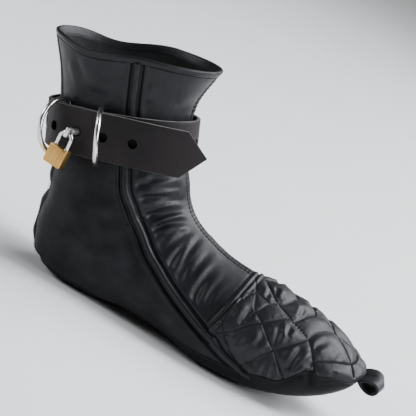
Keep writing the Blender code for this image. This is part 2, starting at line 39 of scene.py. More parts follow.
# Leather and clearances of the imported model
WALL = 2.0
SOLE_THICK = 3.0
TIP_THICK = 0.9
INSOLE_THICK = 2.0
INSOLE_GAP = 0.9
GAP = 0.4
TREAD_DEPTH = 0.8
TREAD_FADE = 9.0
COLLAR_FRONT_RISE = 0.09
COLLAR_FRONT_FROM = 78.0
COLLAR_FRONT_TO = 108.0
COLLAR_SIDE_DIP = 0.18
COLLAR_SIDE_DIP_AT = 64.0
COLLAR_SIDE_DIP_SPAN = 21.0

# The last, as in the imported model
SECTION_COLUMNS = (
    "back_x", "back_z", "front_x", "front_z", "half_width",
    "widest", "base_n", "crown_n", "edge_z", "strip",
)
SECTIONS = np.array((
    (247.5, 46.0, 247.5, 46.0, 0.0, 0.45, 2.4, 2.3, 46.0, 0.10),
    (243.5, 39.5, 243.5, 51.0, 25.0, 0.45, 2.5, 2.3, 46.0, 0.10),
    (236.5, 31.5, 236.0, 55.5, 37.0, 0.45, 2.6, 2.3, 46.0, 0.10),
    (222.5, 20.5, 222.0, 62.0, 46.5, 0.45, 2.8, 2.2, 42.0, 0.10),
    (202.0, 10.0, 201.5, 69.0, 52.0, 0.42, 3.2, 2.2, 34.0, 0.11),
    (176.0, 2.5, 176.5, 75.0, 55.5, 0.38, 3.5, 2.1, 22.0, 0.16),
    (150.0, 0.0, 152.0, 77.0, 56.5, 0.36, 3.6, 2.1, 16.0, 0.26),
    (120.0, 0.0, 128.0, 77.5, 55.0, 0.36, 3.6, 2.0, 12.5, 0.38),
    (93.0, 4.0, 107.0, 80.0, 51.0, 0.36, 3.4, 1.95, 11.0, 0.45),
    (70.0, 5.8, 90.0, 84.5, 47.0, 0.37, 3.3, 1.95, 10.5, 0.51),
    (48.0, 5.0, 76.0, 90.0, 44.5, 0.38, 3.3, 1.95, 9.5, 0.58),
    (27.0, 1.2, 66.0, 96.0, 43.0, 0.39, 3.3, 2.0, 6.5, 0.635),
    (5.0, 0.0, 59.5, 102.0, 42.5, 0.40, 3.3, 2.0, 6.0, 0.68),
    (-19.0, 1.0, 56.0, 106.0, 42.5, 0.41, 3.0, 2.0, 6.0, 0.71),
    (-38.0, 10.0, 53.5, 109.5, 43.0, 0.43, 2.6, 2.05, 6.0, 0.715),
    (-46.5, 26.0, 51.5, 113.0, 43.5, 0.45, 2.4, 2.1, 6.0, 0.70),
    (-50.0, 42.0, 49.5, 117.0, 43.5, 0.47, 2.3, 2.1, 6.0, 0.67),
    (-52.0, 62.0, 46.5, 121.5, 43.0, 0.48, 2.2, 2.1, 6.0, 0.635),
    (-61.7, 96.5, 41.3, 130.0, 41.5, 0.49, 2.1, 2.1, 6.0, 0.62),
    (-68.6, 114.4, 34.5, 148.0, 41.0, 0.50, 2.1, 2.1, 6.0, 0.625),
    (-75.5, 132.2, 27.7, 166.0, 41.5, 0.50, 2.1, 2.1, 6.0, 0.63),
    (-86.5, 156.0, 26.0, 183.0, 46.0, 0.50, 2.1, 2.1, 6.0, 0.62),
    (-103.5, 181.5, 31.5, 209.0, 54.0, 0.50, 2.1, 2.1, 6.0, 0.59),
))
COLLAR = len(SECTIONS) - 1
HEEL_SECTIONS = (13.0, 14.0)
STRAP_LOW_SECTION = 18
STRAP_SECTION = 19
STRAP_TOP_SECTION = 20

# Panels
TOE_SEAM_TOP = 6.75
TOE_SEAM_SIDE = 7.05
SIDE_STRIP_HALF = 4.3
SIDE_STRIP_START = 5.35
BACK_STRIP_HALF = 19.0

# Toe loop
LOOP_LENGTH = 19.0
LOOP_HEIGHT = 13.6
LOOP_WALL = 2.2
LOOP_ROOT = 2.6
LOOP_TAPER = 0.8
LOOP_HALF_WIDTH = 20.0

# Strap, rings, post and padlock
STRAP_WIDTH = 38.0
STRAP_THICK = 3.6
STRAP_GAP = 2.9
LAYER_GAP = 0.6
STRAP_START = 28.0
STRAP_RAMP = (348.0, 380.0)
TAIL_LEAVES = 465.0
TAIL_RADIUS = 150.0
TAIL_LENGTH = 90.0
TAIL_DROOP = 0.085
TAIL_DROOP_EASE = 15.0
TAIL_POINT = 20.0
TAIL_BLUNT = 0.04
HOLE_PITCH = 23.5
HOLE_RADIUS = 4.0
HOLE_FIRST = 29.5
HOLE_LAST_ANGLE = 118.0
WIRE = 4.0
RING_INNER_WIDTH = 41.0
RING_DEPTH = 30.0
RING_ARM = 9.0
RING_CORNER = 3.5
RING_BUMP = 9.0
DEGREE_LENGTH = 0.83
RING_GAP = 0.7
RING_ANGLES = {"d_ring_right": 80.0, "d_ring_back": 46.0, "d_ring_left": 287.0}
RING_SWING = {"d_ring_right": 16.0, "d_ring_back": 6.0, "d_ring_left": 0.0}
POST_FROM_RING = 17.5
POST_PROFILE = ((0.0, 2.9), (0.25, 2.9), (0.3, 2.8), (0.6, 2.5), (1.0, 2.3))
EYE_REACH = 11.0
EYE_RADIUS = 2.2
HEAD_SIZE = (8.0, 8.0, 3.2)
SHACKLE_WIRE = 3.0
SHACKLE_RADIUS = 5.5
SHACKLE_LEG = 7.0
LOCK_SIZE = (17.0, 16.0, 9.0)

# Fineness and clearances of the dressed strap and steel
STRAP_STEP = 2.0
STRAP_ROUND = 0.9
STRAP_ROW = 23
EDGE_STEPS = 7
RIM_WIRE = 0.42
RIM_SINK = 0.25
CUT_REACH = 4
WIRE_CLEAR = 0.02
HEAD_BEVEL = (0.9, 3)
LOCK_BEVEL = (1.3, 4)
SHACKLE_COLLAR = (2.15, 0.6)
LOCK_PLUG = (3.1, 0.35)

# Creases of the right side: points of section and angle, width of the trough, how far it sinks and how
# far the leather rises beside it. A negative depth is a bulge. The left side mirrors them, shifted a
# little and of other depths.
CREASES = (
    (((17.45, 122), (17.45, 135), (17.3, 152)), 3.4, 1.5, 0.7),
    (((17.1, 112), (17.1, 123), (17.0, 140)), 2.6, 1.5, 0.9),
    (((15.95, 116), (15.4, 139), (14.1, 166)), 2.8, 2.1, 1.5),
    (((13.95, 121), (13.15, 140), (12.1, 163)), 2.8, 2.1, 1.5),
    (((12.1, 122), (12.0, 136), (11.55, 148), (10.3, 172)), 2.4, 1.9, 1.6),
    (((11.7, 124), (11.45, 138)), 1.8, 1.1, 0.5),
    (((9.6, 108), (9.88, 129), (10.05, 150)), 3.0, 1.9, 1.0),
    (((8.95, 106), (9.2, 131), (9.28, 150)), 4.0, 1.0, 0.6),
    (((7.85, 101), (8.16, 123), (8.1, 153)), 3.8, 2.5, 1.1),
    (((10.9, 112), (10.8, 128), (10.6, 140)), 3.2, 0.7, 0.5),
    (((10.35, 118), (10.5, 138), (10.4, 172)), 2.6, 0.7, 0.7),
    (((9.35, 122), (9.6, 146), (9.75, 176)), 2.2, 0.8, 0.7),
    (((8.5, 112), (8.75, 138), (8.8, 176)), 2.8, 0.9, 0.8),
    (((7.5, 106), (7.68, 128), (7.6, 160)), 2.4, 0.7, 0.6),
    (((13.0, 128), (12.6, 146), (11.8, 170)), 1.8, 0.6, 0.5),
    (((14.85, 130), (14.3, 148), (13.3, 172)), 1.8, 0.6, 0.5),
    (((16.7, 122), (16.45, 142), (15.8, 170)), 2.4, 1.2, 1.0),
    (((13.7, 78), (13.5, 96), (13.3, 112)), 6.0, 0.5, 0.5),
    (((14.9, 92), (14.4, 108), (14.2, 118)), 5.0, 0.6, 0.5),
    (((16.4, 62), (16.7, 78), (17.3, 96)), 8.0, 0.7, 0.4),
    (((9.5, 62), (9.2, 80), (8.6, 96)), 8.0, 0.5, 0.3),
    (((7.6, 70), (7.2, 78), (6.6, 88)), 6.0, 0.4, 0.3),
    (((20.55, 96), (20.5, 112), (20.45, 132)), 4.6, 1.5, 0.0),
    (((20.98, 96), (20.94, 112), (20.9, 132)), 5.0, -0.9, 0.0),
    (((20.5, 140), (20.7, 156), (20.6, 172)), 5.0, 0.9, 0.6),
    (((20.55, 90), (20.5, 72), (20.45, 50)), 5.0, 1.5, 0.0),
    (((20.98, 90), (20.94, 72), (20.9, 50)), 5.5, -1.0, 0.0),
    (((21.55, 50), (21.15, 56), (20.7, 66)), 4.6, 1.1, 0.8),
    (((21.55, 112), (21.2, 109), (20.75, 105)), 4.0, 1.0, 0.8),
    (((21.5, 78), (21.1, 80), (20.7, 84)), 4.0, 0.8, 0.6),
)
BACK_CREASES = (
    (((17.15, -46), (16.98, 0), (17.12, 46)), 5.0, 1.7, 0.9),
    (((14.45, -56), (14.34, 0), (14.45, 56)), 4.2, 0.9, 0.6),
    (((15.9, -38), (15.6, 4), (15.8, 34)), 5.5, 0.6, 0.4),
)

# Quilt stitch lines of the right side, through points of section and angle. The left mirrors them.
QUILT_LINES = (
    ((6.98, 116), (6.64, 103), (6.28, 93), (5.88, 80), (5.55, 64)),
    ((6.72, 168), (6.4, 149), (6.18, 135), (5.78, 127), (5.32, 116), (4.84, 103), (4.42, 84), (4.25, 66)),
    ((6.45, 180), (6.12, 166), (5.7, 154), (5.02, 145), (4.3, 137), (3.92, 125), (3.59, 106), (3.4, 88)),
    ((5.28, 198), (4.9, 194), (4.28, 190), (3.63, 183), (2.87, 169), (2.09, 152), (1.5, 128)),
    ((6.8, 138), (6.44, 151), (6.18, 150), (5.86, 148)),
    ((6.98, 92), (6.74, 100), (6.4, 108), (6.06, 120), (5.68, 129), (5.18, 143), (4.86, 147), (4.45, 180)),
    ((6.1, 66), (5.68, 79), (5.38, 96), (5.06, 108), (4.72, 118), (4.32, 135), (4.12, 150), (3.55, 180)),
    ((6.18, 128), (6.06, 135), (5.86, 148), (5.66, 154), (5.44, 159), (5.2, 180)),
    ((3.75, 110), (3.69, 118), (3.07, 131), (2.19, 153), (1.9, 180)),
)
QUILT_PUFF = 2.5
QUILT_SEAT = 0.6
PUCKER = 0.06
QUILT_SOFT = 5.2

# Folds of the quilted leather, as the creases
QUILT_FOLDS = (
    (((6.34, 114), (6.28, 125), (6.22, 137)), 3.0, 1.5, 0.9),
    (((6.13, 98), (6.10, 105), (6.04, 112)), 2.6, 1.0, 0.8),
    (((5.57, 104), (5.52, 115), (5.53, 122)), 2.6, 0.9, 0.7),
    (((5.09, 112), (5.14, 123), (5.23, 134)), 2.4, 1.4, 1.0),
    (((4.91, 126), (4.92, 133), (4.90, 139)), 2.2, 1.1, 0.9),
    (((4.39, 94), (4.34, 108), (4.30, 124), (4.30, 131)), 3.2, 2.1, 1.3),
    (((5.23, 76), (5.32, 88), (5.34, 95)), 2.2, 1.1, 0.8),
    (((4.92, 77), (5.02, 91), (5.07, 99)), 2.2, 1.1, 0.8),
    (((4.64, 75), (4.79, 91), (4.93, 100)), 2.0, 1.2, 0.9),
    (((3.96, 128), (3.83, 140), (3.56, 152)), 2.6, 0.9, 0.8),
    (((4.16, 96), (4.08, 108), (3.83, 118)), 2.2, 1.1, 0.9),
    (((4.85, 150), (4.84, 160), (4.90, 172)), 2.2, 0.9, 0.7),
    (((5.87, 158), (5.92, 168), (6.01, 176)), 2.0, 1.0, 0.8),
    (((6.11, 150), (6.07, 159), (6.14, 169)), 2.0, 0.9, 0.7),
    (((3.0, 150), (2.9, 140), (2.75, 128)), 2.8, 0.6, 0.4),
    (((2.9, 118), (2.75, 110), (2.5, 104)), 2.3, 0.7, 0.5),
)

# Dents of the sole's turned-up edge below the toe, as the creases
SOLE_FOLDS = (
    (((3.78, 106), (3.65, 97), (3.5, 87), (3.4, 74)), 2.6, 1.7, 1.0),
    (((4.3, 80), (4.2, 74), (4.15, 66)), 3.0, 0.7, 0.5),
)

# Shares of a crease's length over which it sinks in and comes up again
VAMP_FADES = (0.25, 0.7)
BACK_FADES = (0.2, 0.2)
QUILT_FADES = (0.2, 0.4)
SOLE_FADES = (0.1, 0.6)

# Creases of the left side: greatest shift in sections, share of the depth and how far it varies
LEFT_SHIFT = 0.1
LEFT_DEPTH = (0.85, 0.2)

# Soft lines beside a seam or edge: height, distance from it, width and power of the bell
STRIP_RELIEF = ((0.8, 7.2, 2.2, 2), (-2.0, 0.0, 5.3, 8))
FRONT_RELIEF = ((0.55, 0.0, 4.2, 6), (-0.8, 0.0, 0.8, 2), (-0.45, 4.9, 0.9, 2))
TOE_RELIEF = ((0.9, 2.2, 1.2, 2), (-0.6, 0.0, 1.2, 2), (-0.3, 5.0, 0.9, 2))
SOLE_RELIEF = ((0.9, 1.4, 1.3, 2), (-0.5, 4.5, 1.4, 2))
BACK_RELIEF = ((-1.0, 0.0, 1.2, 2), (-0.3, 4.5, 1.2, 2))
QUILT_RELIEF = ((1.1, 2.0, 1.1, 2), (-0.5, 4.2, 0.9, 2))

# Rise of the sole's edge round the toe, with places and widths in sections
SOLE_EDGE_WAVE = ((6.5, 3.7, 0.40, 2), (2.5, 2.8, 0.60, 2), (-3.0, 4.5, 0.28, 2))

# Where creases fade beside the side strips, and where leather lies still at the sole seam
CREASE_CLEAR = 9.5
SEAM_HOLD = 12

# Where sheets start and end, in sections, and how deep their edges are turned in below the skin
UPPER_START = 5.1
LINING_START = 0.7
OVERLAY_END = COLLAR - 0.16
UPPER_TURN_IN = 1.2
STRIP_TURN_IN = 1.7
BACK_TURN_IN = 0.6
QUILT_TURN_IN = 0.8

# Side strip: depth of its seams, height and share of the width of its rib, sections over which it grows
RIB_SEAT = 1.3
RIB_HEIGHT = 2.2
RIB_SHARE = 0.72
RIB_GROWS = 0.9

# Height of the back strip, and how far from its edges its creases fade
BACK_HEIGHT = 1.2
BACK_FADE = 3

# Runs of the sole's rows as first and last section and count, the last run ending at the heel
SOLE_RUNS = ((0.12, 3.0, 60), (3.05, 12.6, 110))
SOLE_LAST_RUN = (12.65, 40)

# Gathers beside the quilt's stitching
PUCKER_REACH = 9
PUCKER_AT = 2.6
PUCKER_WIDTH = 2.2
PUCKER_PITCHES = (6.3, 3.7)

# Quilt: depth and width of its grooves, leather that they hold still, and how its pillows fall off
QUILT_GROOVE = (1.25, 0.75)
QUILT_HELD = 2.4
QUILT_EDGE_SOFT = 4.0
PILLOW_POWER = 1.4
QUILT_TIP_FADE = 0.12

# Hem from its sewn edge over the rim to the inside: distance below the rim and height above the skin
HEM_PROFILE = (
    (5.4, -0.2), (5.1, 0.4), (4.3, 0.8), (3.0, 0.95), (1.6, 0.95), (0.6, 0.7), (0.1, 0.1), (0.0, -0.7),
    (0.2, -1.6), (1.0, -2.2), (3.0, -2.5), (7.0, -2.4), (8.0, -2.0),
)

# Stitch rows: distance from a seam or edge and height above the skin, and sections that they run through
FRONT_ROWS = ((2.2, 0.45), (4.9, -0.15))
FRONT_RUN = (7.0, 17.6)
BACK_RUN_END = 17.7
ABOVE_STRAP = (20.3, 21.7)
HEM_ROW = (5.7, 0.3)
BACK_ROW = BACK_STRIP_HALF - 2.6
TOE_ROW = (0.2, 0.1)
QUILT_ROW_SINK = 0.95

# Stitches: pitch, length and radius of the thread
THREADS = {
    "seam_stitches": (3.4, 2.2, 0.42),
    "hem_stitches": (3.0, 2.1, 0.32),
    "back_stitches": (2.6, 1.8, 0.26),
    "quilt_stitches": (3.0, 2.3, 0.26),
}

# Camera: azimuth, elevation and roll, and outlying points that it takes in
CAMERA_LOOK = (6.0, 14.0, 27.3)
CAMERA_TIPS = ((267.0, 0.0, 46.0), (-70.0, -62.0, 110.0))
CAMERA_DISTANCE = 1500.0
CAMERA_MARGIN = 1.13
SENSOR = 36.0

# Area lights in metres and watts: place, target, size and power
LIGHT_COLOUR = (0.93, 0.96, 1.0)
LIGHTS = {
    "key": ((1.50, 0.20, 1.75), (0.08, 0.0, 0.08), (1.0, 1.0), 74.0),
    "soft": ((1.25, 1.70, 1.45), (0.08, 0.0, 0.08), (2.0, 1.4), 58.0),
    "front": ((1.60, -0.70, 0.85), (0.08, 0.0, 0.08), (0.7, 0.7), 17.0),
    "back": ((-1.30, -0.50, 0.75), (-0.05, 0.0, 0.1), (0.5, 0.6), 12.0),
}
SUN_POWER = 0.85
SUN_WIDTH = 50
SUN_WAY = (-0.35, -0.45, -1.0)
SKY_COLOUR = (0.93, 0.935, 0.95, 1.0)
SKY_POWER = 0.09
FLOOR_SIZE = 12.0
FLOOR_DROP = 0.0004

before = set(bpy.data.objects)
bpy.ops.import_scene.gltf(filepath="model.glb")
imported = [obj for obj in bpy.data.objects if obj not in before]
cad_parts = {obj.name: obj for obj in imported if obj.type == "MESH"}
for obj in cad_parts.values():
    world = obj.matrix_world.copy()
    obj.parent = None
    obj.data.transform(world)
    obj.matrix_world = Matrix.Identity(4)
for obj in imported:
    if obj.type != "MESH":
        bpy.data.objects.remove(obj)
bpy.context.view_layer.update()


# Curves


def unit(vectors):
    return vectors / np.linalg.norm(vectors, axis=-1, keepdims=True)


def bell(x, width, power=2):
    """Fall from 1 at zero; a high power makes the top flat and the sides steep."""
    return np.exp(-((x / width) ** power))


def relief(gap, table):
    """Height at these distances of the soft lines of a table."""
    return sum(height * bell(gap - place, width, power) for height, place, width, power in table)


def ease(share):
    """Share from 0 to 1 with a soft start and end."""
    share = np.clip(share, 0.0, 1.0)
    return share**2 * (3 - 2 * share)


def path_length(path):
    """Length along a path, or along each column of a grid, up to each of its points."""
    steps = np.linalg.norm(np.diff(path, axis=0), axis=-1)
    return np.concatenate((np.zeros_like(steps[:1]), np.cumsum(steps, axis=0)))


def at_length(path, length, where):
    """Points of a path at these lengths along it."""
    return np.stack([np.interp(where, length, column) for column in path.T], -1)


def smooth_at(rows, t):
    """Values at t of a smooth curve that passes through the rows at 0, 1, 2 and so on."""
    slopes = np.gradient(rows, axis=0)
    first = np.clip(np.floor(t).astype(int), 0, len(rows) - 2)
    f = np.reshape(t - first, first.shape + (1,) * (rows.ndim - 1))
    rise = rows[first + 1] - rows[first]
    bend_in = slopes[first] - rise
    bend_out = rise - slopes[first + 1]
    return rows[first] + f * rise + f * (1 - f) * ((1 - f) * bend_in + f * bend_out)


def smooth_path(points, count):
    """Evenly spaced points on a smooth curve through the given ones."""
    points = np.asarray(points, float)
    curve = smooth_at(points, np.linspace(0, len(points) - 1, 24 * len(points)))
    length = path_length(curve)
    return at_length(curve, length, np.linspace(0, length[-1], count))


# The last


def along(column, s):
    """Value of a column of the last at section s."""
    return smooth_at(SECTIONS[:, SECTION_COLUMNS.index(column)], s)


def skin(s, a):
    s, a = np.broadcast_arrays(np.asarray(s, float), np.asarray(a, float))
    below = np.cos(a) > 0
    power = np.where(below, along("base_n", s), along("crown_n", s))
    rise = np.abs(np.cos(a))
    spread = np.abs(np.sin(a))
    reach = (rise**power + spread**power) ** (-1 / power)
    widest = along("widest", s)
    share = np.where(below, widest * (1 - reach * rise), widest + (1 - widest) * reach * rise)
    x = along("back_x", s) * (1 - share) + along("front_x", s) * share
    y = -np.sign(np.sin(a)) * along("half_width", s) * reach * spread
    z = along("back_z", s) * (1 - share) + along("front_z", s) * share
    return np.stack((x, y, z), axis=-1)


def outward(s, a):
    s, a = np.broadcast_arrays(np.asarray(s, float), np.asarray(a, float))
    safe = np.maximum(s, 2 * STEP)
    to_collar = skin(safe + STEP, a) - skin(safe - STEP, a)
    round_it = skin(safe, a + STEP) - skin(safe, a - STEP)
    found = np.cross(round_it, to_collar)
    found[s < STEP] = (1.0, 0.0, 0.0)
    return unit(found)


def offset_skin(s, a, offset):
    """Points at a height above the skin."""
    return skin(s, a) + outward(s, a) * np.asarray(offset)[..., None]


def angle_at(s, share):
    """Angle at a share of the way from the section's back to its front."""
    widest = along("widest", s)
    below = share < widest
    power = np.where(below, along("base_n", s), along("crown_n", s))
    depth = np.where(below, 1 - share / widest, (share - widest) / (1 - widest))
    depth = np.clip(depth, 0.0, 1.0)
    side = (1 - depth**power) ** (1 / power)
    return np.where(below, np.arctan2(side, depth), math.pi - np.arctan2(side, depth))


def seam_angle(s):
    """Angle of the seam between sole and upper."""
    height = along("front_z", s) - along("back_z", s)
    share = (along("edge_z", s) - along("back_z", s)) / np.maximum(height, STEP)
    return angle_at(s, np.clip(share, 0.0, 1.0))


def heel_section():
    """Section at which the sole seam meets the back."""
    s = np.linspace(*HEEL_SECTIONS, 2001)
    return s[np.argmin(np.abs(along("back_z", s) - along("edge_z", s)))]


def angle_step(s, a, distance):
    """Angle that covers a distance round the skin."""
    speed = np.linalg.norm(skin(s, a + STEP) - skin(s, a - STEP), axis=-1) / (2 * STEP)
    return distance / np.maximum(speed, 1.0)


def collar_row(s, a):
    """Section moved so that the collar's edge rises in front and dips at the sides."""
    degrees = np.degrees(np.arccos(np.cos(a)))
    rise = ease((degrees - COLLAR_FRONT_FROM) / (COLLAR_FRONT_TO - COLLAR_FRONT_FROM))
    dip = bell(degrees - COLLAR_SIDE_DIP_AT, COLLAR_SIDE_DIP_SPAN)
    share = (s - STRAP_TOP_SECTION) / (COLLAR - STRAP_TOP_SECTION)
    moved = s + (COLLAR_FRONT_RISE * rise - COLLAR_SIDE_DIP * dip) * share
    return np.where(s > STRAP_TOP_SECTION, moved, s)


def collar_rim(a):
    """Section of the collar's edge, and millimetres per section there."""
    step = 0.1
    rim = collar_row(np.full_like(a, COLLAR), a)
    return rim, np.linalg.norm(skin(rim, a) - skin(rim - step, a), axis=1) / step


def toe_seam(across):
    """Section of the toe seam, from the crest at 0 to the sides at 1."""
    return TOE_SEAM_TOP + (TOE_SEAM_SIDE - TOE_SEAM_TOP) * across**2


def strip_angle(s):
    return angle_at(s, along("strip", s))


def thickness(full, s):
    return np.minimum(full, TIP_THICK * (1 + s))


# Meshes


def link(name, data):
    """New object of the scene that holds this data."""
    made = bpy.data.objects.new(name, data)
    bpy.context.scene.collection.objects.link(made)
    return made


def new_object(name, points, faces):
    """Object of points in millimetres, with its faces turned outward."""
    data = bpy.data.meshes.new(name)
    data.from_pydata((np.asarray(points) * MM).tolist(), [], [list(map(int, f)) for f in faces])
    work = bmesh.new()
    work.from_mesh(data)
    bmesh.ops.recalc_face_normals(work, faces=work.faces)
    work.to_mesh(data)
    work.free()
    return link(name, data)


def add_mesh(name, points, faces, material, body="boot", replaces=(), slot=None):
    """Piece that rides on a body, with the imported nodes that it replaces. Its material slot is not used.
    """
    made = new_object(name, points, faces)
    made.data.shade_smooth()
    made.data.materials.append(material)
    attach(made, body)
    if replaces:
        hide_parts(*replaces)
    return made


def ring_rows(ids):
    """Point numbers of a grid with the first column again at the end, so that each row is a ring."""
    return np.concatenate((ids, ids[:, :1]), axis=1)


def grid_quads(ids):
    """Quads between the rows of a grid of point numbers."""
    return np.stack((ids[:-1, :-1], ids[:-1, 1:], ids[1:, 1:], ids[1:, :-1]), -1).reshape(-1, 4)


def sheet_mesh(name, outer, inner, material, closed=False, **options):
    """A sheet of quads over a grid of points, with its free edges turned in to the inner grid."""
    points = outer.reshape(-1, 3)
    ids = np.arange(len(points)).reshape(outer.shape[:2])
    if closed:
        ids = ring_rows(ids)
        rims = [list(ids[0]), list(ids[-1][::-1])]
    else:
        ring = list(ids[0]) + list(ids[1:, -1]) + list(ids[-1, -2::-1]) + list(ids[-2:0:-1, 0])
        rims = [ring + [ring[0]]]
    faces = grid_quads(ids).tolist()
    flat_inner = inner.reshape(-1, 3)
    extra = []
    for rim in rims:
        start = len(points) + len(extra)
        place = {}
        for v in rim:
            if v not in place:
                place[v] = start + len(place)
                extra.append(flat_inner[v])
        for u, v in zip(rim[:-1], rim[1:]):
            faces.append([u, v, place[v], place[u]])
    return add_mesh(name, np.concatenate((points, np.array(extra))), faces, material, **options)


def shell_mesh(name, outer, inner, material, closed=False, **options):
    """A closed shell between two grids of points."""
    points = np.concatenate((outer.reshape(-1, 3), inner.reshape(-1, 3)))
    count = len(points) // 2
    ids = np.arange(count).reshape(outer.shape[:2])
    sides = [] if closed else [ids[::-1, 0], ids[:, -1]]
    if closed:
        ids = ring_rows(ids)
    quads = grid_quads(ids)
    faces = quads.tolist() + (quads[:, ::-1] + count).tolist()
    for rim in [ids[0], ids[-1][::-1]] + sides:
        for u, v in zip(rim[:-1], rim[1:]):
            faces.append([v, u, u + count, v + count])
    return add_mesh(name, points, faces, material, **options)


def circle(middle, radius, first, second, sides):
    """Points on a circle in the plane of two directions."""
    turn = np.arange(sides)[:, None] * FULL_TURN / sides
    return middle + radius * (np.cos(turn) * first + np.sin(turn) * second)


def sweep(points, radius, sides, closed=False):
    """Points and faces of a round tube along a path."""
    points = np.asarray(points, float)
    ahead = np.roll(points, -1, 0) - np.roll(points, 1, 0)
    if not closed:
        ahead[0] = points[1] - points[0]
        ahead[-1] = points[-1] - points[-2]
    ahead = unit(ahead)
    skew_direction = (0.31, 0.17, 0.93)
    side = np.cross(ahead[0], skew_direction)
    rings = []
    for place, way in zip(points, ahead):
        side = unit(side - way * (side @ way))
        rings.append(circle(place, radius, side, np.cross(way, side), sides))
    rings = np.array(rings)
    ids = np.arange(len(rings) * sides).reshape(-1, sides)
    caps = [] if closed else [ids[0, ::-1].tolist(), ids[-1].tolist()]
    if closed:
        gaps = [np.sum((np.roll(rings[0], -k, 0) - rings[-1]) ** 2) for k in range(sides)]
        ids = np.concatenate((ids, [np.roll(ids[0], -int(np.argmin(gaps)))]))
    return rings.reshape(-1, 3), grid_quads(ring_rows(ids)).tolist() + caps


def pin(middle, reach, radius, sides):
    """Points and faces of a round pin that reaches as far to each side of its middle."""
    return sweep([middle - reach, middle, middle + reach], radius, sides)


def joined(tubes):
    """Points and faces of several tubes as one mesh."""
    points = []
    faces = []
    for tube, quads in tubes:
        faces += [[v + len(points) for v in face] for face in quads]
        points += tube.tolist()
    return points, faces


def sharpen(made, degrees):
    """Smooth shading with sharp edges where faces meet at more than this angle."""
    made.data.shade_smooth()
    made.data.set_sharp_from_angle(angle=math.radians(degrees))


def cut(target, tool, operation="DIFFERENCE"):
    """Cuts the tool from the target or joins it, and removes the tool."""
    change = target.modifiers.new("cut", "BOOLEAN")
    change.operation = operation
    change.solver = "EXACT"
    change.object = tool
    bpy.context.view_layer.update()
    graph = bpy.context.evaluated_depsgraph_get()
    data = bpy.data.meshes.new_from_object(target.evaluated_get(graph))
    target.modifiers.clear()
    target.data = data
    bpy.data.objects.remove(tool, do_unlink=True)


# Relief of the leather


def skin_path(points, count=48, mirror=False):
    """Section and angle along a line drawn on the skin through points of section and degrees."""
    weight = 20
    line = smooth_path(np.array(points) * (1.0, math.radians(1) * weight), count)
    s = line[:, 0]
    a = line[:, 1] / weight
    return s, (FULL_TURN - a if mirror else a)


def nearest_on(points, path, reach):
    """Batches of the points near a path: their numbers, the nearest point of the path, and how far."""
    near = np.all((points > path.min(0) - reach) & (points < path.max(0) + reach), axis=1)
    where = np.flatnonzero(near)
    for part in np.array_split(where, max(1, len(where) // 4000)):
        gaps = np.linalg.norm(points[part][:, None] - path[None], axis=2)
        nearest = gaps.argmin(axis=1)
        yield part, nearest, gaps[np.arange(len(part)), nearest]


def crease_field(points, path, width, depth, ridge, fades):
    """Height change near one crease: a soft trough with a ridge to each side, fading at its ends."""
    field = np.zeros(len(points))
    rise, fall = fades
    for part, nearest, gap in nearest_on(points, path, 5 * width):
        share = nearest / (len(path) - 1)
        fade = ease(np.clip(share / rise, 0.0, 1.0) * np.clip((1 - share) / fall, 0.0, 1.0))
        wide = width * (0.8 + 0.4 * share)
        field[part] = fade * (ridge * bell(gap - 2.0 * wide, 1.1 * wide) - depth * bell(gap, wide))
    return field


def line_gap(points, path, far=12.0):
    """Distance from points to a path, up to far."""
    found = np.full(len(points), far)
    for part, _, gap in nearest_on(points, path, far):
        found[part] = np.minimum(far, gap)
    return found


def pucker_field(points, path):
    """Small gathers beside a line of stitching."""
    field = np.zeros(len(points))
    length = path_length(path)
    ways = unit(np.gradient(path, axis=0))
    long, short = PUCKER_PITCHES
    for part, nearest, gap in nearest_on(points, path, PUCKER_REACH):
        at = length[nearest] + np.sum((points[part] - path[nearest]) * ways[nearest], axis=1)
        wave = np.sin(at * FULL_TURN / long + 0.9 * np.sin(at / 7)) + 0.6 * np.sin(at * FULL_TURN / short)
        inside = (at > 0) & (at < length[-1])
        field[part] = PUCKER * inside * wave * bell(gap - PUCKER_AT, PUCKER_WIDTH)
    return field


def creased(points, table, mirror, fades):
    """Sum of the creases of a table at these points."""
    total = np.zeros(len(points))
    for number, (line, width, depth, ridge) in enumerate(table):
        s, a = skin_path(line, mirror=mirror)
        if mirror:
            s = s + LEFT_SHIFT * math.sin(2.7 * number)
            depth = depth * (LEFT_DEPTH[0] + LEFT_DEPTH[1] * math.cos(1.9 * number))
        total += crease_field(points, skin(s, a), width, depth, ridge, fades)
    return total


def undulation(points):
    """Slow unevenness of soft leather, in millimetres."""
    x, y, z = points.T
    slow = np.sin(x / 17 + 1.3 * np.sin(z / 23) + y / 31) * np.sin(z / 14 - x / 41 + 0.7)
    quick = np.sin(x / 6.1 - z / 7.7 + 2 * np.sin(y / 15)) * np.sin(z / 5.3 + y / 9.1)
    return 0.28 * slow + 0.09 * quick


# Materials


def principled(name, colour, roughness, metallic=0.0, specular=0.5):
    made = bpy.data.materials.new(name)
    made.use_nodes = True
    shader = made.node_tree.nodes["Principled BSDF"]
    shader.inputs["Base Color"].default_value = (*colour, 1.0)
    shader.inputs["Roughness"].default_value = roughness
    shader.inputs["Metallic"].default_value = metallic
    shader.inputs["Specular IOR Level"].default_value = specular
    return made, made.node_tree, shader


def node(tree, kind, values, links):
    """New shader node with these input values and links."""
    made = tree.nodes.new("ShaderNode" + kind)
    for name, value in values.items():
        made.inputs[name].default_value = value
    for name, source in links.items():
        tree.links.new(source, made.inputs[name])
    return made


def coordinates(tree, scale=(1.0, 1.0, 1.0)):
    """Object coordinates in millimetres times scale."""
    values = {"Scale": tuple(k / MM for k in scale)}
    links = {"Vector": node(tree, "TexCoord", {}, {}).outputs["Object"]}
    return node(tree, "Mapping", values, links).outputs["Vector"]


def noise(tree, vector, scale, detail=3.0, rough=0.55):
    values = {"Scale": scale, "Detail": detail, "Roughness": rough}
    return node(tree, "TexNoise", values, {"Vector": vector}).outputs["Fac"]


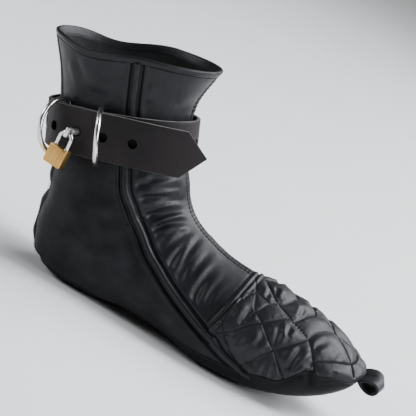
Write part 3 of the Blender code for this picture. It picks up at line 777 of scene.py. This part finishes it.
def ramp(tree, value, *stops):
    """Colour between two stops, each a value and its colour."""
    made = node(tree, "ValToRGB", {}, {"Fac": value})
    for element, (place, colour) in zip(made.color_ramp.elements, stops):
        element.position = place
        element.color = (*colour, 1.0)
    return made.outputs["Color"]


def spread(tree, value, low, high):
    """The middle range of a noise spread from low to high."""
    values = {"From Min": 0.3, "From Max": 0.7, "To Min": low, "To Max": high}
    return node(tree, "MapRange", values, {"Value": value}).outputs["Result"]


def bump(tree, height, strength, distance, **links):
    values = {"Strength": strength, "Distance": distance * MM}
    return node(tree, "Bump", values, {"Height": height, **links}).outputs["Normal"]


def plug(tree, shader, colour, gloss, normal):
    for name, source in (("Base Color", colour), ("Roughness", gloss), ("Normal", normal)):
        tree.links.new(source, shader.inputs[name])


def leather(name, dark, light, rough, grain=0.5, grain_size=1.0, patch=0.045, shine=0.21):
    """Leather with pebbles of about a millimetre, pores, wrinkles, and uneven colour and gloss."""
    made, tree, shader = principled(name, dark, rough[0], 0.0, shine)
    place = coordinates(tree)
    colour = ramp(tree, noise(tree, place, patch, 4.0), (0.3, dark), (0.75, light))
    gloss = spread(tree, noise(tree, place, 0.12, 5.0, 0.65), *rough)
    pebbles = node(tree, "TexVoronoi", {"Scale": 1.1 / grain_size}, {"Vector": place})
    pebbles.feature = "SMOOTH_F1"
    normal = bump(tree, pebbles.outputs["Distance"], grain, -0.12)
    pores = noise(tree, place, 2.6, 2.0)
    normal = bump(tree, pores, 0.5 * grain, 0.05, Normal=normal)
    wrinkles = noise(tree, place, 0.22, 4.0, 0.7)
    plug(tree, shader, colour, gloss, bump(tree, wrinkles, 0.5, 0.5, Normal=normal))
    return made


def metal(name, colour, rough, brushed=(1.0, 1.0, 1.0), scratch=0.15, tone=0.86):
    """Plated or brushed metal with uneven gloss and fine scratches."""
    made, tree, shader = principled(name, colour, rough[0], 1.0)
    wear = noise(tree, coordinates(tree, brushed), 0.9, 4.0)
    worn = tuple(tone * c for c in colour)
    plug(tree, shader, ramp(tree, wear, (0.3, worn), (0.7, colour)), spread(tree, wear, *rough),
         bump(tree, wear, scratch, 0.05))
    return made


NAPPA = leather("nappa_dressed", (0.006, 0.0062, 0.0075), (0.014, 0.0145, 0.017), (0.38, 0.50))
# Darker, less glossy copy of the nappa for the quarter below the strap: painted shade of the side that
# sits out of the light
QUARTER_PAINTED_SHADE = leather("quarter_painted_shade", (0.002, 0.0021, 0.0026), (0.015, 0.0155, 0.018), (0.38, 0.54),
                  shine=0.15)
QUILT = leather("quilt_dressed", (0.007, 0.0072, 0.0086), (0.016, 0.0166, 0.0195), (0.40, 0.51))
SOLE = leather("sole_dressed", (0.003, 0.003, 0.0036), (0.007, 0.007, 0.0082), (0.48, 0.62), 0.35,
               shine=0.11)
LINING = leather("lining_dressed", (0.006, 0.006, 0.0065), (0.012, 0.012, 0.012), (0.72, 0.88), 0.4)
STRAP = leather("strap_dressed", (0.005, 0.0045, 0.0052), (0.0175, 0.0120, 0.0126), (0.54, 0.68), 0.7,
                0.8, 0.018)
# Rounded cut edges of the strap: lighter than its faces, partly the edge's own tone and partly a painted
# highlight
STRAP_EDGE_AND_HIGHLIGHT = leather("strap_edge_and_painted_highlight", (0.10, 0.095, 0.095), (0.24, 0.225, 0.22), (0.5, 0.65), 0.4)
THREAD = leather("thread_dressed", (0.002, 0.002, 0.002), (0.005, 0.005, 0.0055), (0.75, 0.9), 0.3, 0.3)
STEEL = metal("nickel_dressed", (0.80, 0.79, 0.77), (0.14, 0.26))
POST_STEEL = metal("post_dressed", (0.82, 0.81, 0.79), (0.34, 0.46))
BRASS = metal("brass_dressed", (0.70, 0.40, 0.12), (0.24, 0.46), (1.6, 1.6, 0.08), 0.6, 0.6)


# Upper


def even_rows(first, last, count):
    """Section numbers about evenly spaced along the skin."""
    s = np.linspace(first, last, 2000)
    lines = skin(s[:, None], np.radians((70.0, 120.0, 160.0, 180.0))[None, :])
    speed = np.linalg.norm(np.gradient(lines, axis=0), axis=2).max(axis=1)
    length = np.cumsum(speed)
    return np.interp(np.linspace(length[0], length[-1], count), length, s)


def even_angles(s, first, last, count):
    """Angles from first to last in each row, about evenly spaced round the skin."""
    share = np.linspace(0, 1, 120)[None, :]
    a = first[:, None] + share * (last - first)[:, None]
    length = path_length(skin(s[:, None], a).swapaxes(0, 1)).T
    even = np.linspace(0, 1, count)
    return np.array([np.interp(even * row[-1], row, angles) for row, angles in zip(length, a)])


def upper_half(name, mirror, **options):
    """Vamp and quarter of one side, from the sole seam to the centre-front seam."""
    rows = even_rows(UPPER_START, COLLAR - 0.02, 300)
    a = even_angles(rows, seam_angle(rows), np.full(len(rows), math.pi), 220)
    s = collar_row(rows[:, None], a)
    base = skin(s, a).reshape(-1, 3)
    shown = base * (1, -1, 1) if mirror else base
    side_a = FULL_TURN - a if mirror else a
    strip_s = np.linspace(SIDE_STRIP_START, COLLAR - 0.1, 260)
    strip_gap = line_gap(base, skin(collar_row(strip_s, strip_angle(strip_s)), strip_angle(strip_s)))
    clear = 1 - bell(strip_gap, CREASE_CLEAR, 3)
    lift = creased(shown, CREASES, mirror, VAMP_FADES) * clear + undulation(shown)
    lift += relief(strip_gap, STRIP_RELIEF)
    lift += relief(line_gap(base, skin(rows, math.pi)), FRONT_RELIEF)
    lift += relief(line_gap(base, toe_seam_line()), TOE_RELIEF)
    lift = lift.reshape(a.shape) * np.clip((a - a[:, :1]) * SEAM_HOLD, 0.0, 1.0)
    inner = offset_skin(s, side_a, -UPPER_TURN_IN)
    made = sheet_mesh(name, offset_skin(s, side_a, lift), inner, NAPPA, **options)
    # Faces behind the side strip and below the strap take the darker quarter leather: painted shade
    made.data.materials.append(QUARTER_PAINTED_SHADE)
    painted_shade_faces = ((a < strip_angle(rows)[:, None]) & (rows[:, None] < STRAP_SECTION)).reshape(-1)
    for face in made.data.polygons:
        if all(painted_shade_faces[v % painted_shade_faces.size] for v in face.vertices):
            face.material_index = 1


def toe_seam_line():
    """The toe seam on the right side, from the centre to the side strip."""
    across = np.linspace(0.0, 1.0, 80)
    s = toe_seam(across)
    return skin(s, math.pi + across * (strip_angle(s) - math.pi))


def lining():
    """Lining of the upper, with half of its unevenness."""
    rows = even_rows(LINING_START, COLLAR - 0.05, 120)
    start = seam_angle(rows)
    a = start[:, None] + np.linspace(0, 1, 97)[None, :] * (FULL_TURN - 2 * start)[:, None]
    s = collar_row(rows[:, None], a)
    soft = 0.5 * undulation(skin(s, a).reshape(-1, 3)).reshape(a.shape)
    outer = offset_skin(s, a, soft - thickness(WALL, s) + 0.1)
    inner = offset_skin(s, a, 0.5 - 0.9 * thickness(WALL, s))
    sheet_mesh("lining", outer, inner, LINING, slot="lining")


def hem():
    """Folded hem round the collar."""
    a = np.linspace(0, FULL_TURN, 361)[:-1]
    rim, speed = collar_rim(a)
    wave = 0.25 * np.sin(9 * a) + 0.18 * np.sin(17 * a + 1)
    outer = np.array([offset_skin(rim - (down + wave * (down > 1)) / speed, a, off)
                      for down, off in smooth_path(HEM_PROFILE, 26)])
    sheet_mesh("collar_hem", outer, outer, NAPPA, closed=True, slot="nappa")


# Sole and insole


def tread(points):
    """Points pressed flat towards the floor."""
    z = points[..., 2]
    sink = TREAD_DEPTH * np.clip((TREAD_FADE - z) / (TREAD_FADE - 1), 0.0, 1.0)
    points[..., 2] = np.maximum(0.0, z - sink)
    return points


def sole_edge(s, clear):
    """Angle of the sole's edge, which a fold lifts a little on each side of the toe."""
    seam = seam_angle(s)
    return seam + angle_step(s, seam, clear + relief(s, SOLE_EDGE_WAVE))


def sole():
    """Sole pan with a lip at its seam and folds below the toe."""
    first, count = SOLE_LAST_RUN
    runs = (*SOLE_RUNS, (first, heel_section() - 0.02, count))
    rows = np.concatenate([np.linspace(*run) for run in runs])[:, None]
    across = np.sin(np.linspace(-1.0, 1.0, 91) * math.pi / 2)[None, :]
    edge = sole_edge(rows, 0.8)
    a = across * edge
    s = rows + 0 * a
    gap = (1 - np.abs(across)) * edge / np.maximum(angle_step(rows, edge, 1.0), 1e-6)
    bare = skin(s, a)
    base = bare.reshape(-1, 3)
    soft = undulation(base)
    for mirror in (False, True):
        soft += creased(base, SOLE_FOLDS, mirror, SOLE_FADES)
    height = bare[..., 2]
    soft = soft.reshape(a.shape) * np.clip(height / 20, 0, 1)
    lip = relief(gap, SOLE_RELIEF) * np.clip(height / 8 - 0.3, 0, 1)
    outer = tread(offset_skin(s, a, lip + soft))
    inner = offset_skin(s, a, 0.3 - thickness(SOLE_THICK, s))
    shell_mesh("sole_pan", outer, inner, SOLE, replaces=("sole",), slot="sole_leather")


def insole():
    """Leather sock lying in the sole pan."""
    rows = np.linspace(2.3, heel_section() - 0.6, 90)[:, None]
    across = np.linspace(-1.0, 1.0, 41)[None, :]
    a = across * seam_angle(rows) * 0.66
    s = rows + 0 * a
    under = -thickness(SOLE_THICK, s) - INSOLE_GAP
    soft = 0.25 * undulation(skin(s, a).reshape(-1, 3)).reshape(a.shape)
    top = offset_skin(s, a, under - INSOLE_THICK + soft)
    shell_mesh("insole_sock", offset_skin(s, a, under), top, LINING, replaces=("insole",), slot="lining")


# Overlays


def side_strip(name, mirror, **options):
    """Raised rib between two seams."""
    rows = even_rows(SIDE_STRIP_START - 0.1, OVERLAY_END, 300)[:, None]
    across = np.linspace(-1.0, 1.0, 17)[None, :]
    middle = strip_angle(rows)
    grown = np.clip((rows - rows[0]) / RIB_GROWS, 0.0, 1.0) ** 0.7
    a = middle + across * angle_step(rows, middle, SIDE_STRIP_HALF * (0.45 + 0.55 * grown))
    s = collar_row(rows, a)
    rib = np.sqrt(np.clip(1 - (across / RIB_SHARE) ** 2, 0, 1))
    lift = -RIB_SEAT + (RIB_SEAT + RIB_HEIGHT * grown) * rib
    a = FULL_TURN - a if mirror else a
    under = offset_skin(s, a, -STRIP_TURN_IN)
    sheet_mesh(name, offset_skin(s, a, lift), under, NAPPA, **options)


def back_strip():
    """Strip over the back seam, creased across and rolled in at its edges."""
    rows = even_rows(heel_section() + 0.08, OVERLAY_END, 200)[:, None]
    across = np.linspace(-1.0, 1.0, 61)[None, :]
    a = across * angle_step(rows, 0 * rows, BACK_STRIP_HALF)
    s = collar_row(rows, a)
    base = skin(s, a).reshape(-1, 3)
    lift = undulation(base) + creased(base, BACK_CREASES, False, BACK_FADES)
    edge = (1 - np.abs(across)) * BACK_STRIP_HALF
    roll = BACK_HEIGHT + relief(edge, BACK_RELIEF)
    foot = np.clip((rows - rows[0]) / 0.5, 0.0, 1.0)
    lift = (lift.reshape(a.shape) * np.clip(edge / BACK_FADE, 0, 1) + roll) * (0.15 + 0.85 * foot)
    under = offset_skin(s, a, -BACK_TURN_IN)
    sheet_mesh("back_strip_dressed", offset_skin(s, a, lift), under, NAPPA,
               replaces=("back_strip",), slot="nappa")


def toe_edge(s):
    """Lowest angle of the quilted panel."""
    strip = strip_angle(s)
    strip = strip + angle_step(s, strip, SIDE_STRIP_HALF + 0.2)
    return np.maximum(np.where(s > SIDE_STRIP_START - 0.6, strip, 0.0), sole_edge(s, 0.4))


def quilt_paths(count):
    """Section and angle along each quilt line; those of the left side stop at the crest."""
    paths = []
    for mirror in (False, True):
        for line in QUILT_LINES:
            s, a = skin_path(line, count, mirror)
            kept = a >= math.pi if mirror else a > 0
            paths.append((s[kept], a[kept]))
    return paths


def toe_panel():
    """Quilted panel, puffed between its stitch lines and folded where the leather is pulled."""
    share = np.linspace(0.0, 1.0, 230)[:, None] ** 0.9
    across = np.linspace(-1.0, 1.0, 321)[None, :]
    s = 0.04 + share * (toe_seam(across) - 0.06)
    a = math.pi + across * (math.pi - toe_edge(s))
    grid = skin(s, a)
    base = grid.reshape(-1, 3)
    gap = np.full(len(base), 12.0)
    pillow = np.ones(len(base))
    puckers = np.zeros(len(base))
    for line_s, line_a in quilt_paths(90):
        line = skin(line_s, line_a)
        near = line_gap(base, line, 20.0)
        gap = np.minimum(gap, near)
        pillow *= 1 - bell(near, QUILT_SOFT, PILLOW_POWER)
        puckers += pucker_field(base, line)
    round_it = path_length(grid.swapaxes(0, 1)).T
    side_gap = np.minimum(round_it, round_it[:, -1:] - round_it).reshape(-1)
    from_tip = path_length(grid)
    back_gap = (from_tip[-1] - from_tip).reshape(-1)
    pillow *= 1 - bell(np.minimum(side_gap, back_gap), QUILT_EDGE_SOFT, PILLOW_POWER)
    depth, width = QUILT_GROOVE
    lift = QUILT_SEAT + QUILT_PUFF * pillow - depth * bell(gap, width) + puckers + 0.5 * undulation(base)
    for mirror in (False, True):
        lift += (1 - bell(gap, QUILT_HELD)) * creased(base, QUILT_FOLDS, mirror, QUILT_FADES)
    lift += relief(back_gap, QUILT_RELIEF)
    lift = lift.reshape(a.shape) * np.clip(1.2 - np.exp(-s / QUILT_TIP_FADE), 0, 1)
    under = offset_skin(s, a, -QUILT_TURN_IN)
    made = sheet_mesh("quilted_toe", offset_skin(s, a, lift), under, QUILT,
                      replaces=("toe_panel",), slot="nappa")


def toe_loop():
    """Folded strip across the toe."""
    turn = np.linspace(0.0, FULL_TURN, 49)[:-1]
    y = np.linspace(-LOOP_HALF_WIDTH, LOOP_HALF_WIDTH, 41)
    s = np.linspace(0.0, 1.5, 200)
    nose = skin(s, seam_angle(s))
    x_at = np.interp(np.abs(y), -nose[:, 1], nose[:, 0])
    z_at = np.interp(np.abs(y), -nose[:, 1], nose[:, 2])
    wobble = 0.25 * np.sin(y / 5.5)[:, None] * np.sin(turn)[None, :]

    def ring(length, height, start):
        depth = start + length * (1 - np.cos(turn)) / 2
        lift = height / 2 * np.sin(turn) * np.sin(turn / 2) ** LOOP_TAPER
        x = x_at[:, None] + depth[None, :]
        z = z_at[:, None] + lift[None, :] + wobble
        return np.stack((x, y[:, None] + 0 * x, z), -1)

    outer = ring(LOOP_LENGTH, LOOP_HEIGHT, GAP)
    hole_length = LOOP_LENGTH - LOOP_WALL - LOOP_ROOT
    hole = ring(hole_length, LOOP_HEIGHT - 2 * LOOP_WALL, GAP + LOOP_ROOT)
    shell_mesh("toe_loop_dressed", outer, hole, NAPPA, closed=True, replaces=("toe_loop",), slot="nappa")


# Strap


class StrapPath:
    """Middle line of the strap, from its start round the ankle to the tip of its tail."""

    def __init__(self):
        seams = np.array((0.0, math.pi))
        low = skin(STRAP_LOW_SECTION, seams).mean(axis=0)
        high = skin(STRAP_TOP_SECTION, seams).mean(axis=0)
        self.up = unit(high - low)
        degrees = np.arange(STRAP_START, TAIL_LEAVES, 0.5)
        self.degrees = degrees
        self.centre = self.on_skin(degrees) + self.out(degrees) * self.stand_off(degrees)[:, None]
        self.length = path_length(self.centre)
        self.ring_length = float(np.interp(360.0 + RING_ANGLES["d_ring_right"], degrees, self.length))
        self.end = self.ring_length + TAIL_LENGTH

    def on_skin(self, degrees):
        return skin(STRAP_SECTION, np.radians(np.asarray(degrees) % 360.0))

    def out(self, degrees):
        return unit(np.cross(self.forward(degrees), self.up))

    def forward(self, degrees):
        return unit(self.on_skin(np.asarray(degrees) + 0.1) - self.on_skin(np.asarray(degrees) - 0.1))

    def stand_off(self, degrees):
        """Height of the strap's middle above the skin, over rings and over its own start."""
        degrees = np.asarray(degrees, float)
        lift = 0 * degrees
        for angle in RING_ANGLES.values():
            away = (degrees - angle + 180.0) % 360.0 - 180.0
            lift = lift + bell(away * DEGREE_LENGTH, RING_BUMP)
        bump_up = (RING_GAP + WIRE + GAP - STRAP_GAP) * lift
        ramp_share = (degrees - STRAP_RAMP[0]) / (STRAP_RAMP[1] - STRAP_RAMP[0])
        over = (STRAP_THICK + LAYER_GAP) * ease(ramp_share)
        return STRAP_GAP + STRAP_THICK / 2 + bump_up + over

    def frame(self, length):
        """Place, way ahead, way across and way out at a length along the strap."""
        wound = min(length, self.length[-1])
        degree = float(np.interp(wound, self.length, self.degrees))
        place = at_length(self.centre, self.length, wound)
        ahead = self.forward(degree)
        out = self.out(degree)
        free = length - wound
        if free > 0:
            turn = free / TAIL_RADIUS
            place = place + TAIL_RADIUS * (math.sin(turn) * ahead - (1 - math.cos(turn)) * out)
            leaving = ahead
            ahead = math.cos(turn) * leaving - math.sin(turn) * out
            out = math.cos(turn) * out + math.sin(turn) * leaving
        hang = max(0.0, length - self.ring_length)
        place = place - self.up * TAIL_DROOP * hang**2 / (hang + TAIL_DROOP_EASE)
        slope = TAIL_DROOP * hang * (hang + 2 * TAIL_DROOP_EASE) / (hang + TAIL_DROOP_EASE) ** 2
        ahead = unit(ahead - slope * self.up)
        width = unit(np.cross(out, ahead))
        return place, ahead, width, out


PATH = StrapPath()


def hole_lengths():
    """Lengths along the strap at which it is holed, from the tail back."""
    first = float(np.interp(HOLE_LAST_ANGLE, PATH.degrees, PATH.length))
    return np.arange(PATH.ring_length + HOLE_FIRST, first, -HOLE_PITCH)


def strap():
    """Thick strap with rounded edges, an arrow tip and a row of holes."""
    tail = PATH.end - TAIL_POINT
    stations = np.concatenate((np.arange(0.0, tail, STRAP_STEP), np.linspace(tail, PATH.end, 24)))
    bend = np.radians(np.linspace(90, -90, EDGE_STEPS + 2))[1:-1]
    top_v = np.full(STRAP_ROW, STRAP_THICK / 2)
    right_v = STRAP_THICK / 2 * np.sin(bend)
    vs = np.concatenate((top_v, right_v, -top_v, -right_v))
    rings = []
    for length in stations:
        place, _, width, out = PATH.frame(length)
        half = STRAP_WIDTH / 2 * min(1.0, TAIL_BLUNT + (PATH.end - length) / TAIL_POINT)
        flat = max(half - STRAP_ROUND, 0.2)
        top_u = np.linspace(-1, 1, STRAP_ROW) * flat
        right_u = flat + STRAP_ROUND * np.cos(bend)
        us = np.concatenate((top_u, right_u, top_u[::-1], -right_u))
        rings.append(place + us[:, None] * width + vs[:, None] * out)
    points = np.concatenate(rings)
    around = len(vs)
    ids = np.arange(len(points)).reshape(-1, around)
    faces = grid_quads(ring_rows(ids)).tolist() + [ids[0].tolist(), ids[-1, ::-1].tolist()]
    made = add_mesh("ankle_strap", points, faces, STRAP, replaces=("strap",), slot="strap_leather")
    # Faces of the rounded edges take the lighter edge leather, partly the cut edge's own tone and partly a
    # painted highlight
    made.data.materials.append(STRAP_EDGE_AND_HIGHLIGHT)
    edges = (STRAP_ROW, 2 * STRAP_ROW + EDGE_STEPS)
    for face in made.data.polygons:
        places = {v % around for v in face.vertices}
        low, high = min(places), max(places)
        if len(places) == 2 and any(start < low and high < start + EDGE_STEPS - 1 for start in edges):
            face.material_index = 1
    frames = [PATH.frame(length) for length in hole_lengths()]
    tool = new_object("holes", *joined(pin(place, CUT_REACH * out, HOLE_RADIUS, 40)
                                       for place, _, _, out in frames))
    tool.data.materials.append(STRAP)
    cut(made, tool)
    sharpen(made, 50)


def hole_rims():
    """Pressed rims of the holes, on both faces of the strap."""
    rims = []
    for length in hole_lengths():
        place, ahead, width, out = PATH.frame(length)
        for side in (1, -1):
            middle = place + side * (STRAP_THICK / 2 - RIM_SINK) * out
            ring = circle(middle, HOLE_RADIUS + RIM_SINK, ahead, width, 40)
            rims.append(sweep(ring, RIM_WIRE, 8, True))
    add_mesh("strap_hole_rims", *joined(rims), STRAP, slot="strap_leather")


# Steel and brass


def d_ring(name):
    """Wire ring on its straight bar under the strap, standing out from it."""
    angle = RING_ANGLES[name]
    swing = math.radians(RING_SWING[name])
    out = PATH.out(angle)
    stands = math.cos(swing) * out + math.sin(swing) * np.cross(PATH.up, out)
    middle = PATH.on_skin(angle) + out * (RING_GAP + WIRE / 2)
    half = (RING_INNER_WIDTH + WIRE) / 2
    bend = np.radians(np.linspace(0.0, 90.0, 10))
    corner_u = half - RING_CORNER * (1 - np.sin(bend))
    corner_r = RING_CORNER * (1 - np.cos(bend))
    bow = np.radians(np.linspace(0.0, 180.0, 61))
    u = np.concatenate((corner_u, half * np.cos(bow), -corner_u[::-1]))
    r = np.concatenate((corner_r, RING_ARM + (RING_DEPTH - RING_ARM) * np.sin(bow), corner_r[::-1]))
    points = middle + u[:, None] * PATH.up + r[:, None] * stands
    tube, faces = sweep(points, WIRE / 2 - WIRE_CLEAR, 20, True)
    add_mesh(name + "_wire", tube, faces, STEEL, name, (name,), "steel")


def eye_frame():
    """Middle of the post's eye, its axis, and the ways down and away from the boot."""
    place, _, _, out = PATH.frame(PATH.ring_length - POST_FROM_RING)
    eye = place + out * (STRAP_THICK / 2 + EYE_REACH)
    down = np.array((0.0, 0.0, -1.0))
    axis = unit(np.cross(down, out))
    return eye, axis, down, np.cross(axis, down)


def rounded_block(size, turned, origin, bevel, segments):
    """Points and faces of a box with rounded edges."""
    work = bmesh.new()
    bmesh.ops.create_cube(work, size=1.0, matrix=Matrix.Diagonal((*size, 1.0)))
    bmesh.ops.bevel(work, geom=work.edges, offset=bevel, segments=segments, profile=0.5, affect="EDGES")
    work.verts.index_update()
    local = np.array([v.co for v in work.verts])
    faces = [[v.index for v in f.verts] for f in work.faces]
    work.free()
    return local @ np.array(turned) + origin, faces


def lock_post():
    """Turned post with a rounded head and an eye through it."""
    place, ahead, width, out = PATH.frame(PATH.ring_length - POST_FROM_RING)
    eye, axis, down, away = eye_frame()
    foot = place - out * (STRAP_THICK / 2 + LAYER_GAP - GAP)
    length = float(np.linalg.norm(eye - foot)) - HEAD_SIZE[0] / 4
    points = np.concatenate([circle(foot + share * length * out, radius, ahead, width, 40)
                             for share, radius in POST_PROFILE])
    ids = np.arange(len(points)).reshape(len(POST_PROFILE), -1)
    faces = grid_quads(ring_rows(ids)).tolist() + [ids[0].tolist(), ids[-1].tolist()]
    made = add_mesh("lock_post_dressed", points, faces, POST_STEEL, "boot", ("lock_post",), "steel")
    head = rounded_block(HEAD_SIZE, (down, away, axis), eye, *HEAD_BEVEL)
    cut(made, new_object("head", *head), "UNION")
    cut(made, new_object("eye", *pin(eye, CUT_REACH * axis, EYE_RADIUS, 32)))
    sharpen(made, 35)


def padlock():
    """Shackle, case, and the collars and plug set in the case."""
    eye, axis, down, away = eye_frame()
    bow = np.radians(np.linspace(0.0, 180.0, 41))
    foot = SHACKLE_RADIUS + SHACKLE_LEG
    legs = np.linspace(foot + 0.8, SHACKLE_RADIUS + 0.5, 6)
    beside = np.full(len(legs), SHACKLE_RADIUS)
    across = np.concatenate((beside, SHACKLE_RADIUS * np.cos(bow), -beside))
    drop = np.concatenate((legs, SHACKLE_RADIUS * (1 - np.sin(bow)), legs[::-1]))
    points = eye + across[:, None] * axis + drop[:, None] * down
    tube, faces = sweep(points, SHACKLE_WIRE / 2 - WIRE_CLEAR, 18)
    add_mesh("shackle", tube, faces, STEEL, "padlock", ("padlock_shackle",), "steel")
    middle = eye + down * (foot + GAP + LOCK_SIZE[1] / 2)
    block = rounded_block(LOCK_SIZE, (axis, down, away), middle, *LOCK_BEVEL)
    sharpen(add_mesh("padlock_case", *block, BRASS, "padlock", ("padlock_body",), "brass"), 30)
    collars = [(eye + down * (foot - 0.15) + side * SHACKLE_RADIUS * axis, *SHACKLE_COLLAR)
               for side in (-1, 1)]
    plug = (middle + down * (LOCK_SIZE[1] / 2 - 0.1), *LOCK_PLUG)
    discs = [pin(place + down * height / 2, down * height / 2, radius, 28)
             for place, radius, height in collars + [plug]]
    sharpen(add_mesh("padlock_collars", *joined(discs), STEEL, "padlock", slot="steel"), 30)


# Stitches


def stitches(name, lines):
    """Thread stitches along lines of section, angle and height above the skin."""
    pitch, long, radius = THREADS[name]
    sides = 6
    arch = 0.10
    profile = ((-0.5, 0.25), (-0.36, 0.9), (0.0, 1.0), (0.36, 0.9), (0.5, 0.25))
    points = []
    faces = []
    for s, a, lift in lines:
        path = offset_skin(s, a, lift)
        length = path_length(path)
        count = max(2, int(length[-1] / pitch))
        at = (np.arange(count) + 0.5) * length[-1] / count
        places = at_length(path, length, at)
        ways = unit(at_length(path, length, at + 0.3) - at_length(path, length, at - 0.3))
        normals = outward(np.interp(at, length, s), np.interp(at, length, a))
        for place, way, normal, side in zip(places, ways, normals, unit(np.cross(normals, ways))):
            ids = len(points) + np.arange(len(profile) * sides).reshape(-1, sides)
            for share, size in profile:
                middle = place + way * share * long + normal * arch * (1 - (2 * share) ** 2)
                points.extend(circle(middle, radius * size, side, normal, sides))
            faces += grid_quads(ring_rows(ids)).tolist() + [ids[0, ::-1].tolist(), ids[-1].tolist()]
    add_mesh(name, points, faces, THREAD, slot="nappa")


def beside(seam, runs, row, lift):
    """Lines to stitch at a distance to both sides of a seam, along runs of sections."""
    lines = []
    for side in (-1, 1):
        for s in runs:
            a = seam + side * angle_step(s, seam, row)
            lines.append((collar_row(s, a), a, lift))
    return lines


def sew():
    """Stitch rows along the front and toe seams, the hem, the back strip and the quilt lines."""
    above = np.linspace(*ABOVE_STRAP, 40)
    lines = []
    for row, lift in FRONT_ROWS:
        lines += beside(math.pi, (np.linspace(*FRONT_RUN, 220), above), row, lift)
    across = np.linspace(-0.98, 0.98, 160)
    s = toe_seam(across) + TOE_ROW[0]
    edge = strip_angle(s) + angle_step(s, strip_angle(s), SIDE_STRIP_HALF)
    lines.append((s, math.pi + across * (math.pi - edge), TOE_ROW[1]))
    stitches("seam_stitches", lines)
    a = np.linspace(0, FULL_TURN, 300)
    rim, speed = collar_rim(a)
    stitches("hem_stitches", [(rim - HEM_ROW[0] / speed, a, HEM_ROW[1])])
    low = np.linspace(heel_section() + 0.25, BACK_RUN_END, 120)
    stitches("back_stitches", beside(0.0, (low, above), BACK_ROW, BACK_HEIGHT))
    lines = []
    for s, a in quilt_paths(80):
        low = toe_edge(s)
        inside = (np.minimum(a, FULL_TURN - a) > low + angle_step(s, low, 1.5)) & (s < 6.6) & (s > 0.8)
        if inside.sum() > 6:
            lines.append((s[inside], a[inside], QUILT_SEAT - QUILT_ROW_SINK))
    stitches("quilt_stitches", lines)


# Stage


def look(az, el, roll):
    """Right, up and forward directions of a camera at this azimuth, elevation and roll."""
    az, el, roll = np.radians((az, el, roll))
    right = np.array((math.cos(az), math.sin(az), 0.0))
    forward = np.array((-math.sin(az) * math.cos(el), math.cos(az) * math.cos(el), -math.sin(el)))
    up = np.cross(right, forward)
    rolled_right = math.cos(roll) * right + math.sin(roll) * up
    rolled_up = math.cos(roll) * up - math.sin(roll) * right
    return rolled_right, rolled_up, forward


def camera():
    """Camera that takes in the whole boot from the photograph's side."""
    right, up, forward = look(*CAMERA_LOOK)
    lens = bpy.data.cameras.new("camera")
    made = link("camera", lens)
    grid = skin(np.linspace(0, COLLAR, 200)[:, None], np.linspace(0, FULL_TURN, 90)[None, :])
    seen = np.concatenate((grid.reshape(-1, 3), CAMERA_TIPS))
    wide = seen @ right
    tall = seen @ up
    centre = right * (wide.min() + wide.max()) / 2 + up * (tall.min() + tall.max()) / 2
    centre = centre + forward * (seen @ forward).mean()
    lens.sensor_width = SENSOR
    lens.lens = SENSOR * CAMERA_DISTANCE / (CAMERA_MARGIN * max(np.ptp(wide), np.ptp(tall)))
    turned = Matrix((right, up, -forward)).transposed().to_4x4()
    made.matrix_world = Matrix.Translation(Vector((centre - forward * CAMERA_DISTANCE) * MM)) @ turned
    lens.clip_end = 50.0
    bpy.context.scene.camera = made


def aim(made, way):
    """Turns a light so that it shines this way."""
    made.rotation_euler = Vector(way).to_track_quat("-Z", "Y").to_euler()


def area(name, place, target, size, power):
    """Rectangular light at a place, aimed at a target."""
    data = bpy.data.lights.new(name, "AREA")
    data.shape = "RECTANGLE"
    data.size, data.size_y = size
    data.energy = power
    data.color = LIGHT_COLOUR
    made = link(name, data)
    made.location = place
    aim(made, Vector(target) - Vector(place))


def stage():
    """Pale floor and studio light."""
    world = bpy.data.worlds.new("studio")
    bpy.context.scene.world = world
    world.use_nodes = True
    sky = world.node_tree.nodes["Background"]
    sky.inputs["Color"].default_value = SKY_COLOUR
    sky.inputs["Strength"].default_value = SKY_POWER
    floor_look, tree, shader = principled("floor_pale", (0.88, 0.88, 0.88), 0.75)
    patches = noise(tree, coordinates(tree), 0.004)
    shades = ramp(tree, patches, (0.3, (0.86, 0.86, 0.86)), (0.7, (0.90, 0.90, 0.90)))
    tree.links.new(shades, shader.inputs["Base Color"])
    data = bpy.data.meshes.new("floor")
    corners = [(x * FLOOR_SIZE, y * FLOOR_SIZE, 0) for x, y in ((-1, -1), (1, -1), (1, 1), (-1, 1))]
    data.from_pydata(corners, [], [[0, 1, 2, 3]])
    data.materials.append(floor_look)
    floor = link("floor", data)
    floor.location.z = -FLOOR_DROP
    sun = bpy.data.lights.new("sun", "SUN")
    sun.energy = SUN_POWER
    sun.angle = math.radians(SUN_WIDTH)
    aim(link("sun", sun), SUN_WAY)
    for name, light in LIGHTS.items():
        area(name, *light)


upper_half("upper_right", False, replaces=("upper",), slot="nappa")
upper_half("upper_left", True, slot="nappa")
lining()
hem()
sole()
insole()
side_strip("side_strip_right_dressed", False, replaces=("side_strip_right",), slot="nappa")
side_strip("side_strip_left_dressed", True, replaces=("side_strip_left",), slot="nappa")
back_strip()
toe_panel()
toe_loop()
strap()
hole_rims()
for ring in RING_ANGLES:
    d_ring(ring)
lock_post()
padlock()
sew()
camera()
stage()
